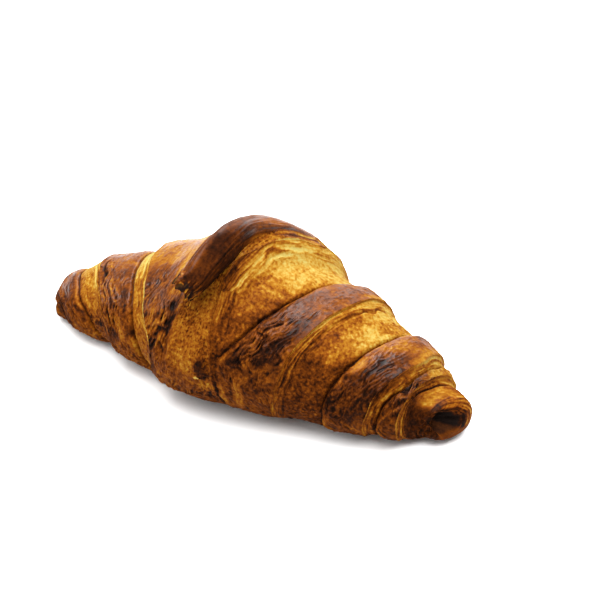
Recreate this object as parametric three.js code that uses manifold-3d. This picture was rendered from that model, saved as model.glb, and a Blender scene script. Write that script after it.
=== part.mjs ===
// One baked croissant as a single solid, in millimetres.
// X runs along the roll, -Y is the front, +Z is up, and it stands on z = 0.
// The body is a grid of rings round the roll. Each ring's radius is a smooth taper plus a relief
// that follows the edges of the wraps, which climb round the body as two spirals.
// The tongue, the narrow end of the dough, is a bent strip joined to the body over the top.
import * as THREE from "three";
import Module from "manifold-3d";

// Lengths along the roll, measured from the plane where its two halves meet.
const MEETING_PLANE_X = -9;
const HALF_LENGTH = { right: 92, left: 72.8 };
// Taper of the roll from its left end to its right end: [distance from the meeting plane, radius].
const TAPER = [
  [-74, 8.2], [-66, 11.7], [-58, 15.1], [-50, 16.8], [-40, 19.8], [-31, 23], [-20, 26], [-10, 29.9], [0, 32.7],
  [8, 33.4], [16, 32.4], [33, 28.1], [50, 24.4], [61, 21], [70, 18.4], [78, 15.5], [86, 11], [93.5, 8],
];
const WIDTH_FACTOR = 1.1;
const HEIGHT_FACTOR = 0.93;
const AXIS_HEIGHT_FACTOR = 0.9;
const TIP_LIFT = 1.2;
const TIP_SET_BACK = 2.8;
const BEND_LENGTH = 85;
const FLOOR_ROUNDING = 2.2;
const FLOOR_SINK = 0.35;

// Wraps. A tread is the smooth outside of a wrap. It ends at an edge, where the layered side of the
// dough drops to the crease from which the next tread comes out.
// Rows are turns of the spiral, columns are the angles below, values are distances along the roll.
const TURN_START = -52;
const TURN_ANGLES = [-52, 0, 30, 60, 95, 130, 220];
const EDGES = {
  right: [
    [15, 14.2, 11.4, 10.2, 16.5, 25.5, 30.2],
    [31.5, 35.5, 38.3, 42.9, 48.4, 51.5, 57.2],
    [63.5, 66.2, 68.8, 72.6, 76.7, 77.5, 76],
    [75.5, 76.9, 78.9, 81.5, 83.3, 84.2, 84.6],
    [85.8, 89.5, 93, 96, 98, 99, 100],
  ],
  left: [
    [12, 12.2, 19.3, 26.2, 31.2, 34.4, 36.3],
    [36.5, 37.6, 43.5, 50.7, 57.2, 58, 58.6],
    [61, 69, 74.5, 78, 80, 81, 82],
  ],
};
const CREASES = {
  right: [
    [15.6, 14.7, 20.7, 29, 36, 41.2, 45.8],
    [50, 52.2, 55.2, 59.6, 64.3, 66.7, 67.8],
    [69, 70.4, 72.8, 77.4, 80.4, 81.3, 80.7],
    [80, 81, 81.9, 84, 85.8, 86.7, 87.2],
    [88.5, 93, 97, 99, 101, 102, 103],
  ],
  left: [
    [17.5, 24.3, 28.8, 32.5, 36.5, 39.2, 42.5],
    [45, 51.3, 59.2, 64.2, 67.8, 68.4, 68.8],
    [64, 72.5, 77.5, 81, 83, 84, 85],
  ],
};
const LEAST_RISER_WIDTH = 1.5;
// Relief: [radius of the roll, height of the step each way].
const STEP_HEIGHT = {
  right: [[0, 0.5], [12, 0.6], [18, 1.15], [26, 1.35], [34, 1.35]],
  left: [[0, 1], [12, 1.35], [18, 1.5], [26, 1.35], [34, 1.35]],
};
// Level of a crease, and of a tread once it has come up round, as parts of the step.
const CREASE_LEVEL = { right: -1, left: -0.45 };
const TREAD_LEVEL = 0.6;
const TREAD_RISE_PART = 0.32;
const TREAD_SLOPE = 0.4;
const TREAD_SWELL = 0.22;
const RISER_DROP = 0.62;
const RISER_DROP_PART = 0.44;
// The right half's steps are lower where the front turns under: part taken off near the middle, and further out.
const LOW_FADE = [0.95, 0.55];
const LOW_FADE_FROM = 15;
const LOW_FADE_LENGTH = 20;
// Soft bulge low at the front of the middle wrap.
const BELLY_HEIGHT = 1.7;
const BELLY_CENTRE = -1;
const BELLY_WIDTH = 12;
const CENTRE_LEVEL = 0.1;
const CENTRE_RISE_START = 110;
const CENTRE_RISE_ANGLE = 60;
// The first edges and creases fade in over this angle, on the underside.
const FADE_ANGLE = 25;
// The relief is averaged over these distances along the roll.
const SMOOTHING = [-1.2, -0.6, 0, 0.6, 1.2];

// The raised band over the back, out of which the tongue grows.
const BAND_HEIGHT = 2.4;
const BAND_START_ANGLE = 78;
const BAND_GROWTH_ANGLE = 30;
const BAND_WIDTH = 9.5;
const BAND_SPREAD = 14;
const BAND_SPREAD_START = 110;
const BAND_SPREAD_ANGLE = 90;
const BAND_END_START = 150;
const BAND_END_ANGLE = 90;
const BAND_SIDE = 1.2;

// The tongue, from its root at the back to its free tip at the front, over these angles.
const TONGUE_ANGLES = [150, 121, 107, 100, 93, 85, 71, 62, 53, 46.5];
const TONGUE_ALONG = [21, 16.6, 13.4, 11.2, 9.2, 7.8, 6.7, 5.6, 4.2, 1.4];
const TONGUE_LIFT = [-2, 1.6, 3.6, 4.6, 5.6, 6.8, 8.2, 8.9, 9.5, 9.9];
const TONGUE_HALF_WIDTH = [4.4, 4.4, 4.6, 4.8, 5.2, 6.1, 6.9, 6.6, 5.8, 4.8];
const TONGUE_HALF_THICKNESS = [2.8, 3.1, 3.6, 4, 4.4, 4.9, 5.1, 4.7, 4.2, 3.3];
const TONGUE_SQUARENESS = [0.7, 0.8];
const TONGUE_ROWS = 34;
const TONGUE_POINTS = 16;
// The saddle, the dough under the tongue: [angle, height], a long slope on the right and a short one on the left.
const SADDLE_HEIGHT = [[50, 0], [58, 2.2], [66, 4.6], [78, 6], [92, 5.4], [105, 4], [120, 2.2], [145, 0]];
const SADDLE_TOP = 1.5;
const SADDLE_SLOPE = { right: 12.5, left: 6 };

// Ends of the roll: rings beyond the last column as [distance, part of the end's radius].
// They turn in, which leaves the hollow of the rolled end.
const END_RINGS = {
  right: [[1.3, 0.95], [2.1, 0.86], [2.3, 0.74], [1.9, 0.54], [0.2, 0.4], [-3.2, 0.32], [-6, 0.24]],
  left: [[0.9, 0.95], [1.7, 0.85], [2.1, 0.7], [2, 0.55], [1.2, 0.4], [0.2, 0.3]],
};
const END_FLOOR = { right: -6.5, left: 0 };
// The right end's face is cut back, most at the front, and its hollow lies off the middle.
const END_SLANT = 9;
const END_SLANT_FROM = 74;
const END_SLANT_LENGTH = 16;
const END_SLANT_ANGLE = 20;
const HOLLOW_SHIFT = { y: -9.5, z: 4.6 };

// Columns of the grid: [distance from the meeting plane, columns from there to the next entry].
const COLUMN_SPANS = [[-72.8, 21], [-44, 40], [45, 34], [92, 1]];
const RING_POINTS = 50;

const FULL_TURN = 360;
const CRUST_COLOUR = 0x9a5a24;

/** Smooth curve through knots, without overshoot, held level beyond both ends. */
function curve(xs, ys) {
  const n = xs.length;
  const slope = xs.slice(1).map((x, i) => (ys[i + 1] - ys[i]) / (x - xs[i]));
  const tangent = ys.map((_, i) => {
    if (i === 0) return slope[0];
    if (i === n - 1) return slope[n - 2];
    const before = slope[i - 1];
    const after = slope[i];
    return before * after > 0 ? (2 * before * after) / (before + after) : 0;
  });
  return (x) => {
    if (x <= xs[0]) return ys[0];
    if (x >= xs[n - 1]) return ys[n - 1];
    let i = 0;
    while (x > xs[i + 1]) i++;
    const h = xs[i + 1] - xs[i];
    const t = (x - xs[i]) / h;
    const a = ys[i] * (1 + 2 * t) * (1 - t) ** 2;
    const b = ys[i + 1] * t * t * (3 - 2 * t);
    return a + b + h * t * (1 - t) * (tangent[i] * (1 - t) - tangent[i + 1] * t);
  };
}

/** Smooth curve from a list of [x, y] pairs. */
function curveOf(pairs) {
  return curve(pairs.map((p) => p[0]), pairs.map((p) => p[1]));
}

/** One spiral line: distance along the roll over an angle that runs on through all turns. */
function spiral(rows) {
  const xs = rows.flatMap((_, turn) => TURN_ANGLES.map((a) => a + FULL_TURN * turn));
  const ys = rows.flat();
  xs.push(TURN_START + FULL_TURN * rows.length);
  ys.push(ys[ys.length - 1] + 1);
  return curve(xs, ys);
}

/** Rises smoothly from 0 to 1 as t does. */
function smooth(t) {
  const c = Math.min(Math.max(t, 0), 1);
  return c * c * (3 - 2 * c);
}

const taper = curveOf(TAPER);
const edgeLine = { right: spiral(EDGES.right), left: spiral(EDGES.left) };
const creaseLine = { right: spiral(CREASES.right), left: spiral(CREASES.left) };
const stepHeight = { right: curveOf(STEP_HEIGHT.right), left: curveOf(STEP_HEIGHT.left) };
const saddleHeight = curveOf(SADDLE_HEIGHT);
const tonguePath = curve([...TONGUE_ANGLES].reverse(), [...TONGUE_ALONG].reverse());

const sideOf = (u) => (u >= 0 ? "right" : "left");

/** Radius of the roll without relief, at a signed distance u from the meeting plane. */
function plainRadius(u) {
  return taper(u);
}

/** The angle of a ring point, turned into the range that a turn of the spirals covers. */
function turnAngle(degrees) {
  const past = (degrees - TURN_START) % FULL_TURN;
  return TURN_START + (past + FULL_TURN) % FULL_TURN;
}

/** Which tread or riser a point is on, and how far across it. */
function wrapAt(u, angle) {
  const side = sideOf(u);
  const along = Math.abs(u);
  let from = 0;
  for (let turn = 0; turn < EDGES[side].length; turn++) {
    const edge = edgeLine[side](angle + FULL_TURN * turn);
    if (along < edge) return { turn, riser: false, part: (along - from) / (edge - from) };
    const crease = Math.max(creaseLine[side](angle + FULL_TURN * turn), edge + LEAST_RISER_WIDTH);
    const width = crease - edge;
    if (along < crease) return { turn, riser: true, part: (along - edge) / width, width };
    from = crease;
  }
  const end = HALF_LENGTH[side] + 4;
  return { turn: EDGES[side].length, riser: false, part: (along - from) / (end - from) };
}

/** How high the tongue's band is at an angle. */
function bandRise(angle) {
  const grown = smooth((angle - BAND_START_ANGLE) / BAND_GROWTH_ANGLE);
  return BAND_HEIGHT * grown * (1 - smooth((angle - BAND_END_START) / BAND_END_ANGLE));
}

/** Height of the middle wrap, the tongue's band over the back included. */
function middleHeight(u, angle, step) {
  const width = BAND_WIDTH + BAND_SPREAD * smooth((angle - BAND_SPREAD_START) / BAND_SPREAD_ANGLE);
  const left = edgeLine.right(angle) - width;
  const band = bandRise(angle) * smooth((u - left + BAND_SIDE) / (2 * BAND_SIDE));
  const share = u < 0 ? 1 : smooth((angle - CENTRE_RISE_START) / CENTRE_RISE_ANGLE);
  const rise = share * smooth(Math.abs(u) / edgeLine[sideOf(u)](angle));
  return step * (CENTRE_LEVEL + (1 - CENTRE_LEVEL) * rise) + band;
}

/** Height over the plain taper, at an angle counted on through the turns of the spirals. */
function reliefOfTurns(u, angle) {
  const side = sideOf(u);
  const step = stepHeight[side](plainRadius(u)) * calm(u, angle);
  const low = CREASE_LEVEL[side];
  const at = wrapAt(u, angle);
  if (at.turn === 0 && !at.riser) return middleHeight(u, angle, step);
  if (at.turn === 0 && u >= 0) {
    const high = 1 - smooth(at.part / 0.5);
    const top = middleHeight(edgeLine.right(angle), angle, step);
    return top * high - step * (1 - high) * Math.min(at.width / 4, 1);
  }
  if (at.riser) {
    const dropped = RISER_DROP * smooth(at.part / RISER_DROP_PART) + (1 - RISER_DROP) * at.part;
    return step * (1 + (low - 1) * dropped);
  }
  const raised = low + (TREAD_LEVEL - low) * smooth(at.part / TREAD_RISE_PART);
  return step * (raised + TREAD_SLOPE * at.part + TREAD_SWELL * Math.sin(Math.PI * at.part));
}

/** How strong the steps are at a place: the right half's are lower where the front turns under. */
function calm(u, angle) {
  if (u < 0) return 1;
  const a = THREE.MathUtils.degToRad(angle);
  const outwards = smooth((u - LOW_FADE_FROM) / LOW_FADE_LENGTH);
  const fade = LOW_FADE[0] + (LOW_FADE[1] - LOW_FADE[0]) * outwards;
  return 1 - fade * smooth((0.75 - 0.3 * outwards - Math.sin(a)) / 0.8) * smooth((Math.cos(a) + 0.2) / 0.6);
}

/** Height of the dough that carries the tongue. */
function saddle(u, angle) {
  const off = u - tonguePath(angle);
  const fall = off > 0 ? smooth((off - SADDLE_TOP) / SADDLE_SLOPE.right) : smooth(-off / SADDLE_SLOPE.left);
  return saddleHeight(angle) * (1 - fall);
}

/** Height of the soft bulge low at the front. */
function belly(u, angle) {
  const along = Math.exp(-(((u - BELLY_CENTRE) / BELLY_WIDTH) ** 2));
  return BELLY_HEIGHT * along * smooth((30 - angle) / 40) * smooth((angle + 100) / 40);
}

/** Height of the finished surface over the plain taper. */
function relief(u, angle) {
  const faded = smooth((angle - TURN_START) / FADE_ANGLE);
  const own = faded > 0 ? reliefOfTurns(u, angle) : 0;
  const before = faded < 1 ? reliefOfTurns(u, angle + FULL_TURN) : 0;
  return own * faded + before * (1 - faded) + saddle(u, angle) + belly(u, angle);
}

/** Height of the roll's own axis over the floor. */
function axisHeight(u) {
  const out = Math.max(u, 0) / BEND_LENGTH;
  return plainRadius(u) * HEIGHT_FACTOR * AXIS_HEIGHT_FACTOR + TIP_LIFT * out ** 3;
}

/** Point at signed distance u, angle in degrees and radius, flattened where it meets the floor. */
function surfacePoint(u, degrees, radius, axisU = u) {
  const a = THREE.MathUtils.degToRad(degrees);
  const y = -radius * WIDTH_FACTOR * Math.cos(a) + TIP_SET_BACK * (axisU / BEND_LENGTH) ** 2;
  const free = axisHeight(axisU) + radius * HEIGHT_FACTOR * Math.sin(a);
  const z = Math.max((free + Math.hypot(free, FLOOR_ROUNDING)) / 2 - FLOOR_SINK, 0);
  return new THREE.Vector3(MEETING_PLANE_X + u, y, z);
}

/** How far the right end's face is cut back at an angle. */
function slant(u, degrees) {
  const front = (1 + Math.cos(THREE.MathUtils.degToRad(degrees - END_SLANT_ANGLE))) / 2;
  return END_SLANT * smooth((u - END_SLANT_FROM) / END_SLANT_LENGTH) * front;
}

/** Radius of the finished surface. */
function skinRadius(u, degrees) {
  const angle = turnAngle(degrees);
  const total = SMOOTHING.reduce((sum, offset) => sum + relief(u + offset, angle), 0);
  return plainRadius(u) + total / SMOOTHING.length;
}

/** Closed surface from rings of equal point counts, each end closed by one point. */
function skinOf(rings, firstPole, lastPole) {
  const count = rings[0].length;
  const points = [firstPole, ...rings.flat(), lastPole];
  const faces = [];
  const index = (ring, i) => 1 + ring * count + (i % count);
  for (let i = 0; i < count; i++) {
    faces.push(0, index(0, i), index(0, i + 1));
    for (let ring = 0; ring + 1 < rings.length; ring++) {
      faces.push(index(ring, i), index(ring + 1, i), index(ring + 1, i + 1));
      faces.push(index(ring, i), index(ring + 1, i + 1), index(ring, i + 1));
    }
    faces.push(index(rings.length - 1, i + 1), index(rings.length - 1, i), points.length - 1);
  }
  return { points, faces };
}

/** The body: rings from the left end's hollow to the right end's hollow. */
function bodySkin() {
  const angles = Array.from({ length: RING_POINTS }, (_, i) => (i * FULL_TURN) / RING_POINTS);
  const endRing = (side, [out, part]) => {
    const sign = side === "right" ? 1 : -1;
    const u = sign * HALF_LENGTH[side];
    const inwards = side === "right" ? 1 - part : 0;
    return angles.map((a) => {
      const cutBack = slant(u + sign * out, a);
      const point = surfacePoint(u + sign * out - cutBack, a, skinRadius(u, a) * part, u);
      return point.add(new THREE.Vector3(0, HOLLOW_SHIFT.y * inwards, HOLLOW_SHIFT.z * inwards));
    });
  };
  const endPole = (side, ring) => {
    const sign = side === "right" ? 1 : -1;
    const centre = ring.reduce((sum, point) => sum.add(point), new THREE.Vector3()).divideScalar(ring.length);
    const depth = END_FLOOR[side] - END_RINGS[side][END_RINGS[side].length - 1][0];
    return centre.add(new THREE.Vector3(sign * depth, 0, 0));
  };
  const columns = COLUMN_SPANS.flatMap(([start, count], span) => {
    const next = COLUMN_SPANS[Math.min(span + 1, COLUMN_SPANS.length - 1)][0];
    const along = Array.from({ length: count }, (_, i) => start + ((next - start) * i) / count);
    return along.map((u) => angles.map((a) => surfacePoint(u - slant(u, a), a, skinRadius(u, a), u)));
  });
  const left = END_RINGS.left.map((ring) => endRing("left", ring)).reverse();
  const right = END_RINGS.right.map((ring) => endRing("right", ring));
  const leftPole = endPole("left", left[0]);
  const rightPole = endPole("right", right[right.length - 1]);
  return skinOf([...left, ...columns, ...right], leftPole, rightPole);
}

/** The tongue: a strip with a rounded section, swept over the top of the body. */
function tongueSkin() {
  const knots = TONGUE_ANGLES.map((_, i) => i / (TONGUE_ANGLES.length - 1));
  const angle = curve(knots, TONGUE_ANGLES);
  const along = curve(knots, TONGUE_ALONG);
  const lift = curve(knots, TONGUE_LIFT);
  const halfWidth = curve(knots, TONGUE_HALF_WIDTH);
  const halfThickness = curve(knots, TONGUE_HALF_THICKNESS);
  const centre = (t) => surfacePoint(along(t), angle(t), plainRadius(along(t)) + lift(t));
  const power = (v, p) => Math.sign(v) * Math.abs(v) ** p;
  const rings = [];
  for (let row = 0; row < TONGUE_ROWS; row++) {
    const t = row / (TONGUE_ROWS - 1);
    const a = THREE.MathUtils.degToRad(angle(t));
    const ahead = centre(Math.min(t + 0.01, 1)).sub(centre(Math.max(t - 0.01, 0))).normalize();
    const up = new THREE.Vector3(0, -Math.cos(a), Math.sin(a));
    up.addScaledVector(ahead, -up.dot(ahead)).normalize();
    const across = new THREE.Vector3().crossVectors(ahead, up);
    const ring = [];
    for (let i = 0; i < TONGUE_POINTS; i++) {
      const b = (2 * Math.PI * i) / TONGUE_POINTS;
      const w = power(Math.cos(b), TONGUE_SQUARENESS[0]) * halfWidth(t);
      const h = power(Math.sin(b), TONGUE_SQUARENESS[1]) * halfThickness(t);
      ring.push(centre(t).addScaledVector(across, w).addScaledVector(up, h));
    }
    rings.push(ring);
  }
  return skinOf(rings, centre(0), centre(1));
}

/** Turns a closed surface into a solid that can be joined. */
function solidOf(wasm, { points, faces }) {
  const vertProperties = new Float32Array(points.flatMap((p) => [p.x, p.y, p.z]));
  const solid = new wasm.Manifold(
    new wasm.Mesh({ numProp: 3, vertProperties, triVerts: new Uint32Array(faces) }),
  );
  if (solid.volume() > 0) return solid;
  const turned = faces.map((_, i) => faces[i - (i % 3) + [0, 2, 1][i % 3]]);
  return new wasm.Manifold(
    new wasm.Mesh({ numProp: 3, vertProperties, triVerts: new Uint32Array(turned) }),
  );
}

const wasm = await Module();
wasm.setup();
const joined = solidOf(wasm, bodySkin()).add(solidOf(wasm, tongueSkin()));
const largest = joined.decompose().sort((p, q) => q.volume() - p.volume())[0];
const data = largest.getMesh();

const geometry = new THREE.BufferGeometry();
geometry.setAttribute("position", new THREE.BufferAttribute(new Float32Array(data.vertProperties), 3));
geometry.setIndex(new THREE.BufferAttribute(new Uint32Array(data.triVerts), 1));
geometry.computeBoundingBox();
const box = geometry.boundingBox;
geometry.translate(-(box.min.x + box.max.x) / 2, -(box.min.y + box.max.y) / 2, -box.min.z);
geometry.computeVertexNormals();

const crust = new THREE.MeshStandardMaterial({
  name: "crust",
  color: CRUST_COLOUR,
  roughness: 0.55,
  metalness: 0,
});
const croissant = new THREE.Mesh(geometry, crust);
croissant.name = "croissant";

const group = new THREE.Group();
group.add(croissant);
export default group;
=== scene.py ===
"""A baked croissant on a pale floor.

The croissant is one roll of layered dough. Its body is a grid of rings round a tapering axis: the radius is a smooth
taper, plus a relief that follows the edges of the wraps, plus the fine roughness of the crust. The same grid carries
what the oven did to each place as attributes: how brown it is, how glossy the egg wash left it, how burnt it is, and
where it lies on its wrap, so that the fine lines of the dough's layers can run along it. Some light and shade is
painted into these too: a paler top and a darker front, dark lines in the creases and folds, and the hollows of the
right end and of the tongue's end painted black as shade with the burnt places. The tongue is a strip swept over the
top. Lengths in this file are millimetres until a mesh is written, in metres.
"""

import logging
import math
from dataclasses import dataclass, field
from enum import Enum

import bpy
import numpy as np
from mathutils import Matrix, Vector

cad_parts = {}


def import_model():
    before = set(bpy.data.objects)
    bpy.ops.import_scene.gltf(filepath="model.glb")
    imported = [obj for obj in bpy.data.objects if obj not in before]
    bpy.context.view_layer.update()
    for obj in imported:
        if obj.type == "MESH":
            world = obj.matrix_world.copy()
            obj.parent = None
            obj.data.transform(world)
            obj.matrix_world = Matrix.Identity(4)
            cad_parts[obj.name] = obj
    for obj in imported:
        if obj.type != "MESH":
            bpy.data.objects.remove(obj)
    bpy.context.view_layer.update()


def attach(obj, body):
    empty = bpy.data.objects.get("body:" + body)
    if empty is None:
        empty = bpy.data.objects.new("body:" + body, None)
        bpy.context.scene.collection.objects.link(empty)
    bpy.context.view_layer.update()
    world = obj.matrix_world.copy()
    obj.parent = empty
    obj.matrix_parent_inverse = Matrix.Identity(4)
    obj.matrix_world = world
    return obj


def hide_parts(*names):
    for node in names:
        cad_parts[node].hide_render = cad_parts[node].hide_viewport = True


LOG = logging.getLogger("croissant")
METRES = 0.001
FULL_TURN = 360.0
FAR = 9.0
Knots = tuple[tuple[float, float], ...]


class Side(Enum):
    """The two halves of the roll, with the sign of their distances along it."""

    RIGHT = 1
    LEFT = -1


# --------------------------------------------------------------------------------------------------------- number tools


def smooth(t: np.ndarray) -> np.ndarray:
    """Rises from 0 to 1 as t does, level at both ends: 3 t^2 - 2 t^3, held outside."""
    c = np.clip(t, 0.0, 1.0)
    return c * c * (3.0 - 2.0 * c)


def rise(x: np.ndarray, start: float, length: float) -> np.ndarray:
    """Rises smoothly from 0 at the start to 1 over the length."""
    return smooth((x - start) / length)


def fall(x: np.ndarray, start: float, length: float) -> np.ndarray:
    """Falls smoothly from 1 at the start to 0 over the length."""
    return 1 - rise(x, start, length)


def mix(a: np.ndarray, b: np.ndarray, t: np.ndarray) -> np.ndarray:
    """a where t is 0, b where t is 1, and in proportion between."""
    return a * (1.0 - t) + b * t


def hump(distance: np.ndarray, width: float) -> np.ndarray:
    """1 at distance 0, falling off on both sides as a bell of the given width: exp(-(distance / width)^2)."""
    return np.exp(-((distance / width) ** 2))


@dataclass(frozen=True)
class Curve:
    """A smooth curve through knots that never overshoots them: cubic pieces whose slope at a knot is the harmonic mean
    of the slopes on both sides, and level where these differ in sign. Beyond the ends it is held."""

    knots: Knots

    def __call__(self, x: np.ndarray) -> np.ndarray:
        """The curve's value at each x.

        Args:
            x: where to read the curve.

        Returns:
            The value at each x.
        """
        xs, ys = (np.array(v, dtype=float) for v in zip(*self.knots))
        run = np.diff(xs)
        slope = np.diff(ys) / run
        before, after = slope[:-1], slope[1:]
        total = np.where(before * after > 0, before + after, 1.0)
        inner = np.where(before * after > 0, 2.0 * before * after / total, 0.0)
        tangent = np.concatenate(([slope[0]], inner, [slope[-1]]))
        at = np.clip(np.asarray(x, dtype=float), xs[0], xs[-1])
        i = np.clip(np.searchsorted(xs, at, side="right") - 1, 0, len(run) - 1)
        t = (at - xs[i]) / run[i]
        ends = ys[i] * (1 + 2 * t) * (1 - t) ** 2 + ys[i + 1] * t * t * (3 - 2 * t)
        return ends + run[i] * t * (1 - t) * (tangent[i] * (1 - t) - tangent[i + 1] * t)


@dataclass(frozen=True)
class Roughness:
    """Seeded gradient noise on a plane, between about -1 and 1: each lattice point has a direction taken from a hash of
    its place, and the products with the four nearest directions are blended smoothly.

    Attributes:
        seed: tells one noise from another.
        octave_stride: how far apart the seeds of octaves are.
        gain: what brings the blend to about -1 and 1.
        primes: large primes that the hash multiplies the column, the row, the seed and their mixture by.
    """

    seed: int
    octave_stride: int = 17
    gain: float = 1.6
    primes: tuple[int, int, int, int] = (374761393, 668265263, 974634777, 1274126177)

    def _product(self, ix: np.ndarray, iy: np.ndarray, dx: np.ndarray, dy: np.ndarray) -> np.ndarray:
        """Offset (dx, dy) times the direction of lattice point (ix, iy).

        Args:
            ix: the lattice point's column.
            iy: its row.
            dx: offset from it.
            dy: offset from it, the other way.

        Returns:
            The products.
        """
        column, row, seed, mixture = self.primes
        h = ix.astype(np.int64) * column + iy.astype(np.int64) * row + self.seed * seed
        h = (h ^ (h >> 13)) * mixture
        h = (h ^ (h >> 16)) & 0xFFFF
        angle = h * (2.0 * math.pi / 65536.0)
        return np.cos(angle) * dx + np.sin(angle) * dy

    def __call__(self, x: np.ndarray, y: np.ndarray) -> np.ndarray:
        """Noise at the points (x, y), with features about one unit wide.

        Args:
            x: first coordinate.
            y: second coordinate.

        Returns:
            The noise at each point.
        """
        x, y = np.broadcast_arrays(np.asarray(x, dtype=float), np.asarray(y, dtype=float))
        ix, iy = np.floor(x), np.floor(y)
        fx, fy = x - ix, y - iy
        wx, wy = smooth(fx), smooth(fy)
        low = mix(self._product(ix, iy, fx, fy), self._product(ix + 1, iy, fx - 1, fy), wx)
        high = mix(self._product(ix, iy + 1, fx, fy - 1), self._product(ix + 1, iy + 1, fx - 1, fy - 1), wx)
        return self.gain * mix(low, high, wy)

    def layered(self, x: np.ndarray, y: np.ndarray, octaves: int = 3) -> np.ndarray:
        """Noise summed over octaves, each twice as fine and half as strong.

        Args:
            x: first coordinate.
            y: second coordinate.
            octaves: how many noises are summed.

        Returns:
            The sum at each point.
        """
        total = np.zeros(np.broadcast(x, y).shape)
        for octave in range(octaves):
            total += Roughness(self.seed + self.octave_stride * octave)(x * 2**octave, y * 2**octave) / 2**octave
        return total


# ------------------------------------------------------------------------------------------------------------ the wraps


@dataclass
class Place:
    """Where points lie on the wraps.

    Attributes:
        turn: number of the wrap, 0 for the middle one.
        riser: True on the layered side between an edge and the next crease.
        part: share of the way across the tread or riser, outwards.
        width: width of the tread or riser along the roll.
        inner: distance from the tread's or riser's inner border.
        outer: distance to its outer border.
        angle: angle counted on through the turns.
    """

    turn: np.ndarray
    riser: np.ndarray
    part: np.ndarray
    width: np.ndarray
    inner: np.ndarray
    outer: np.ndarray
    angle: np.ndarray

    def from_crease(self) -> np.ndarray:
        """Distance from the nearest crease, or a large one on the middle wrap, which has none inside it."""
        return np.where(self.riser, self.outer, np.where(self.turn > 0, self.inner, FAR))


@dataclass
class Wraps:
    """The edges and creases of the wraps: two spirals, one for each half of the roll.

    Rows are turns, columns are the turn angles, values are distances along the roll from the plane where the halves
    meet. Angle 0 faces the front and 90 faces up.

    Attributes:
        start: the angle where a turn begins, on the underside.
        angles: turn angles of the columns.
        right_edges: edges of the right half's wraps.
        left_edges: edges of the left half's wraps.
        right_creases: creases that the next wraps come out of, on the right.
        left_creases: the same on the left.
        least_riser: the least distance from an edge to its crease.
        least_width: the least width of a tread or riser that is divided by.
        past_end: width of the riser beyond a half's last edge.
        end: where the last tread of each half ends.
    """

    start: float = -52.0
    angles: tuple[float, ...] = (-52, 0, 30, 60, 95, 130, 220)
    right_edges: tuple[tuple[float, ...], ...] = (
        (15, 14.2, 11.4, 10.2, 16.5, 25.5, 30.2),
        (31.5, 35.5, 38.3, 42.9, 48.4, 51.5, 57.2),
        (63.5, 66.2, 68.8, 72.6, 76.7, 77.5, 76),
        (75.5, 76.9, 78.9, 81.5, 83.3, 84.2, 84.6),
        (85.8, 89.5, 93, 96, 98, 99, 100),
    )
    left_edges: tuple[tuple[float, ...], ...] = (
        (12, 12.2, 19.3, 26.2, 31.2, 34.4, 36.3),
        (36.5, 37.6, 43.5, 50.7, 57.2, 58, 58.6),
        (61, 69, 74.5, 78, 80, 81, 82),
    )
    right_creases: tuple[tuple[float, ...], ...] = (
        (15.6, 14.7, 20.7, 29, 36, 41.2, 45.8),
        (50, 52.2, 55.2, 59.6, 64.3, 66.7, 67.8),
        (69, 70.4, 72.8, 77.4, 80.4, 81.3, 80.7),
        (80, 81, 81.9, 84, 85.8, 86.7, 87.2),
        (88.5, 93, 97, 99, 101, 102, 103),
    )
    left_creases: tuple[tuple[float, ...], ...] = (
        (17.5, 24.3, 29.0, 34.6, 39.0, 41.0, 43.5),
        (45, 51.3, 59.2, 64.2, 67.8, 68.4, 68.8),
        (64, 72.5, 77.5, 81, 83, 84, 85),
    )
    least_riser: float = 1.2
    least_width: float = 1e-3
    past_end: float = 10.0
    end: dict[Side, float] = field(default_factory=lambda: {Side.RIGHT: 96.0, Side.LEFT: 76.8})

    def __post_init__(self) -> None:
        """Makes the four spiral lines."""
        self.edge = {Side.RIGHT: self._spiral(self.right_edges), Side.LEFT: self._spiral(self.left_edges)}
        self.crease = {Side.RIGHT: self._spiral(self.right_creases), Side.LEFT: self._spiral(self.left_creases)}

    def _spiral(self, rows: tuple[tuple[float, ...], ...]) -> Curve:
        """One line over an angle that runs on through all turns.

        Args:
            rows: distances along the roll, one row for each turn.

        Returns:
            The distance at each angle.
        """
        knots = [(a + FULL_TURN * turn, v) for turn, row in enumerate(rows) for a, v in zip(self.angles, row)]
        knots.append((self.start + FULL_TURN * len(rows), rows[-1][-1] + 1.0))
        return Curve(tuple(knots))

    def turn_angle(self, degrees: np.ndarray) -> np.ndarray:
        """The same angle, within the range that one turn covers."""
        return self.start + np.mod(degrees - self.start, FULL_TURN)

    def place(self, u: np.ndarray, angle: np.ndarray) -> Place:
        """Finds the tread or riser of each point.

        Args:
            u: signed distance along the roll.
            angle: turn angle in degrees.

        Returns:
            The place of each point.
        """
        shape = np.broadcast(u, angle).shape
        turn = np.zeros(shape, dtype=int)
        riser = np.zeros(shape, dtype=bool)
        inner = np.zeros(shape)
        outer = np.ones(shape)
        for side in Side:
            along = u * side.value
            own = along > 0 if side is Side.RIGHT else along >= 0
            start = np.zeros(shape)
            count = len(self.right_edges if side is Side.RIGHT else self.left_edges)
            for number in range(count + 1):
                if number < count:
                    edge = self.edge[side](angle + FULL_TURN * number)
                    crease = np.maximum(self.crease[side](angle + FULL_TURN * number), edge + self.least_riser)
                else:
                    edge = np.full(shape, self.end[side])
                    crease = edge + self.past_end
                for is_riser, a, b in ((False, start, edge), (True, edge, crease)):
                    here = own & (along >= a) & (along < b)
                    turn = np.where(here, number, turn)
                    riser = np.where(here, is_riser, riser)
                    inner = np.where(here, along - a, inner)
                    outer = np.where(here, b - along, outer)
                start = crease
        width = np.maximum(inner + outer, self.least_width)
        return Place(turn, riser, inner / width, width, inner, outer, angle + FULL_TURN * turn)


# --------------------------------------------------------------------------------------------------------- the roll


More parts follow.
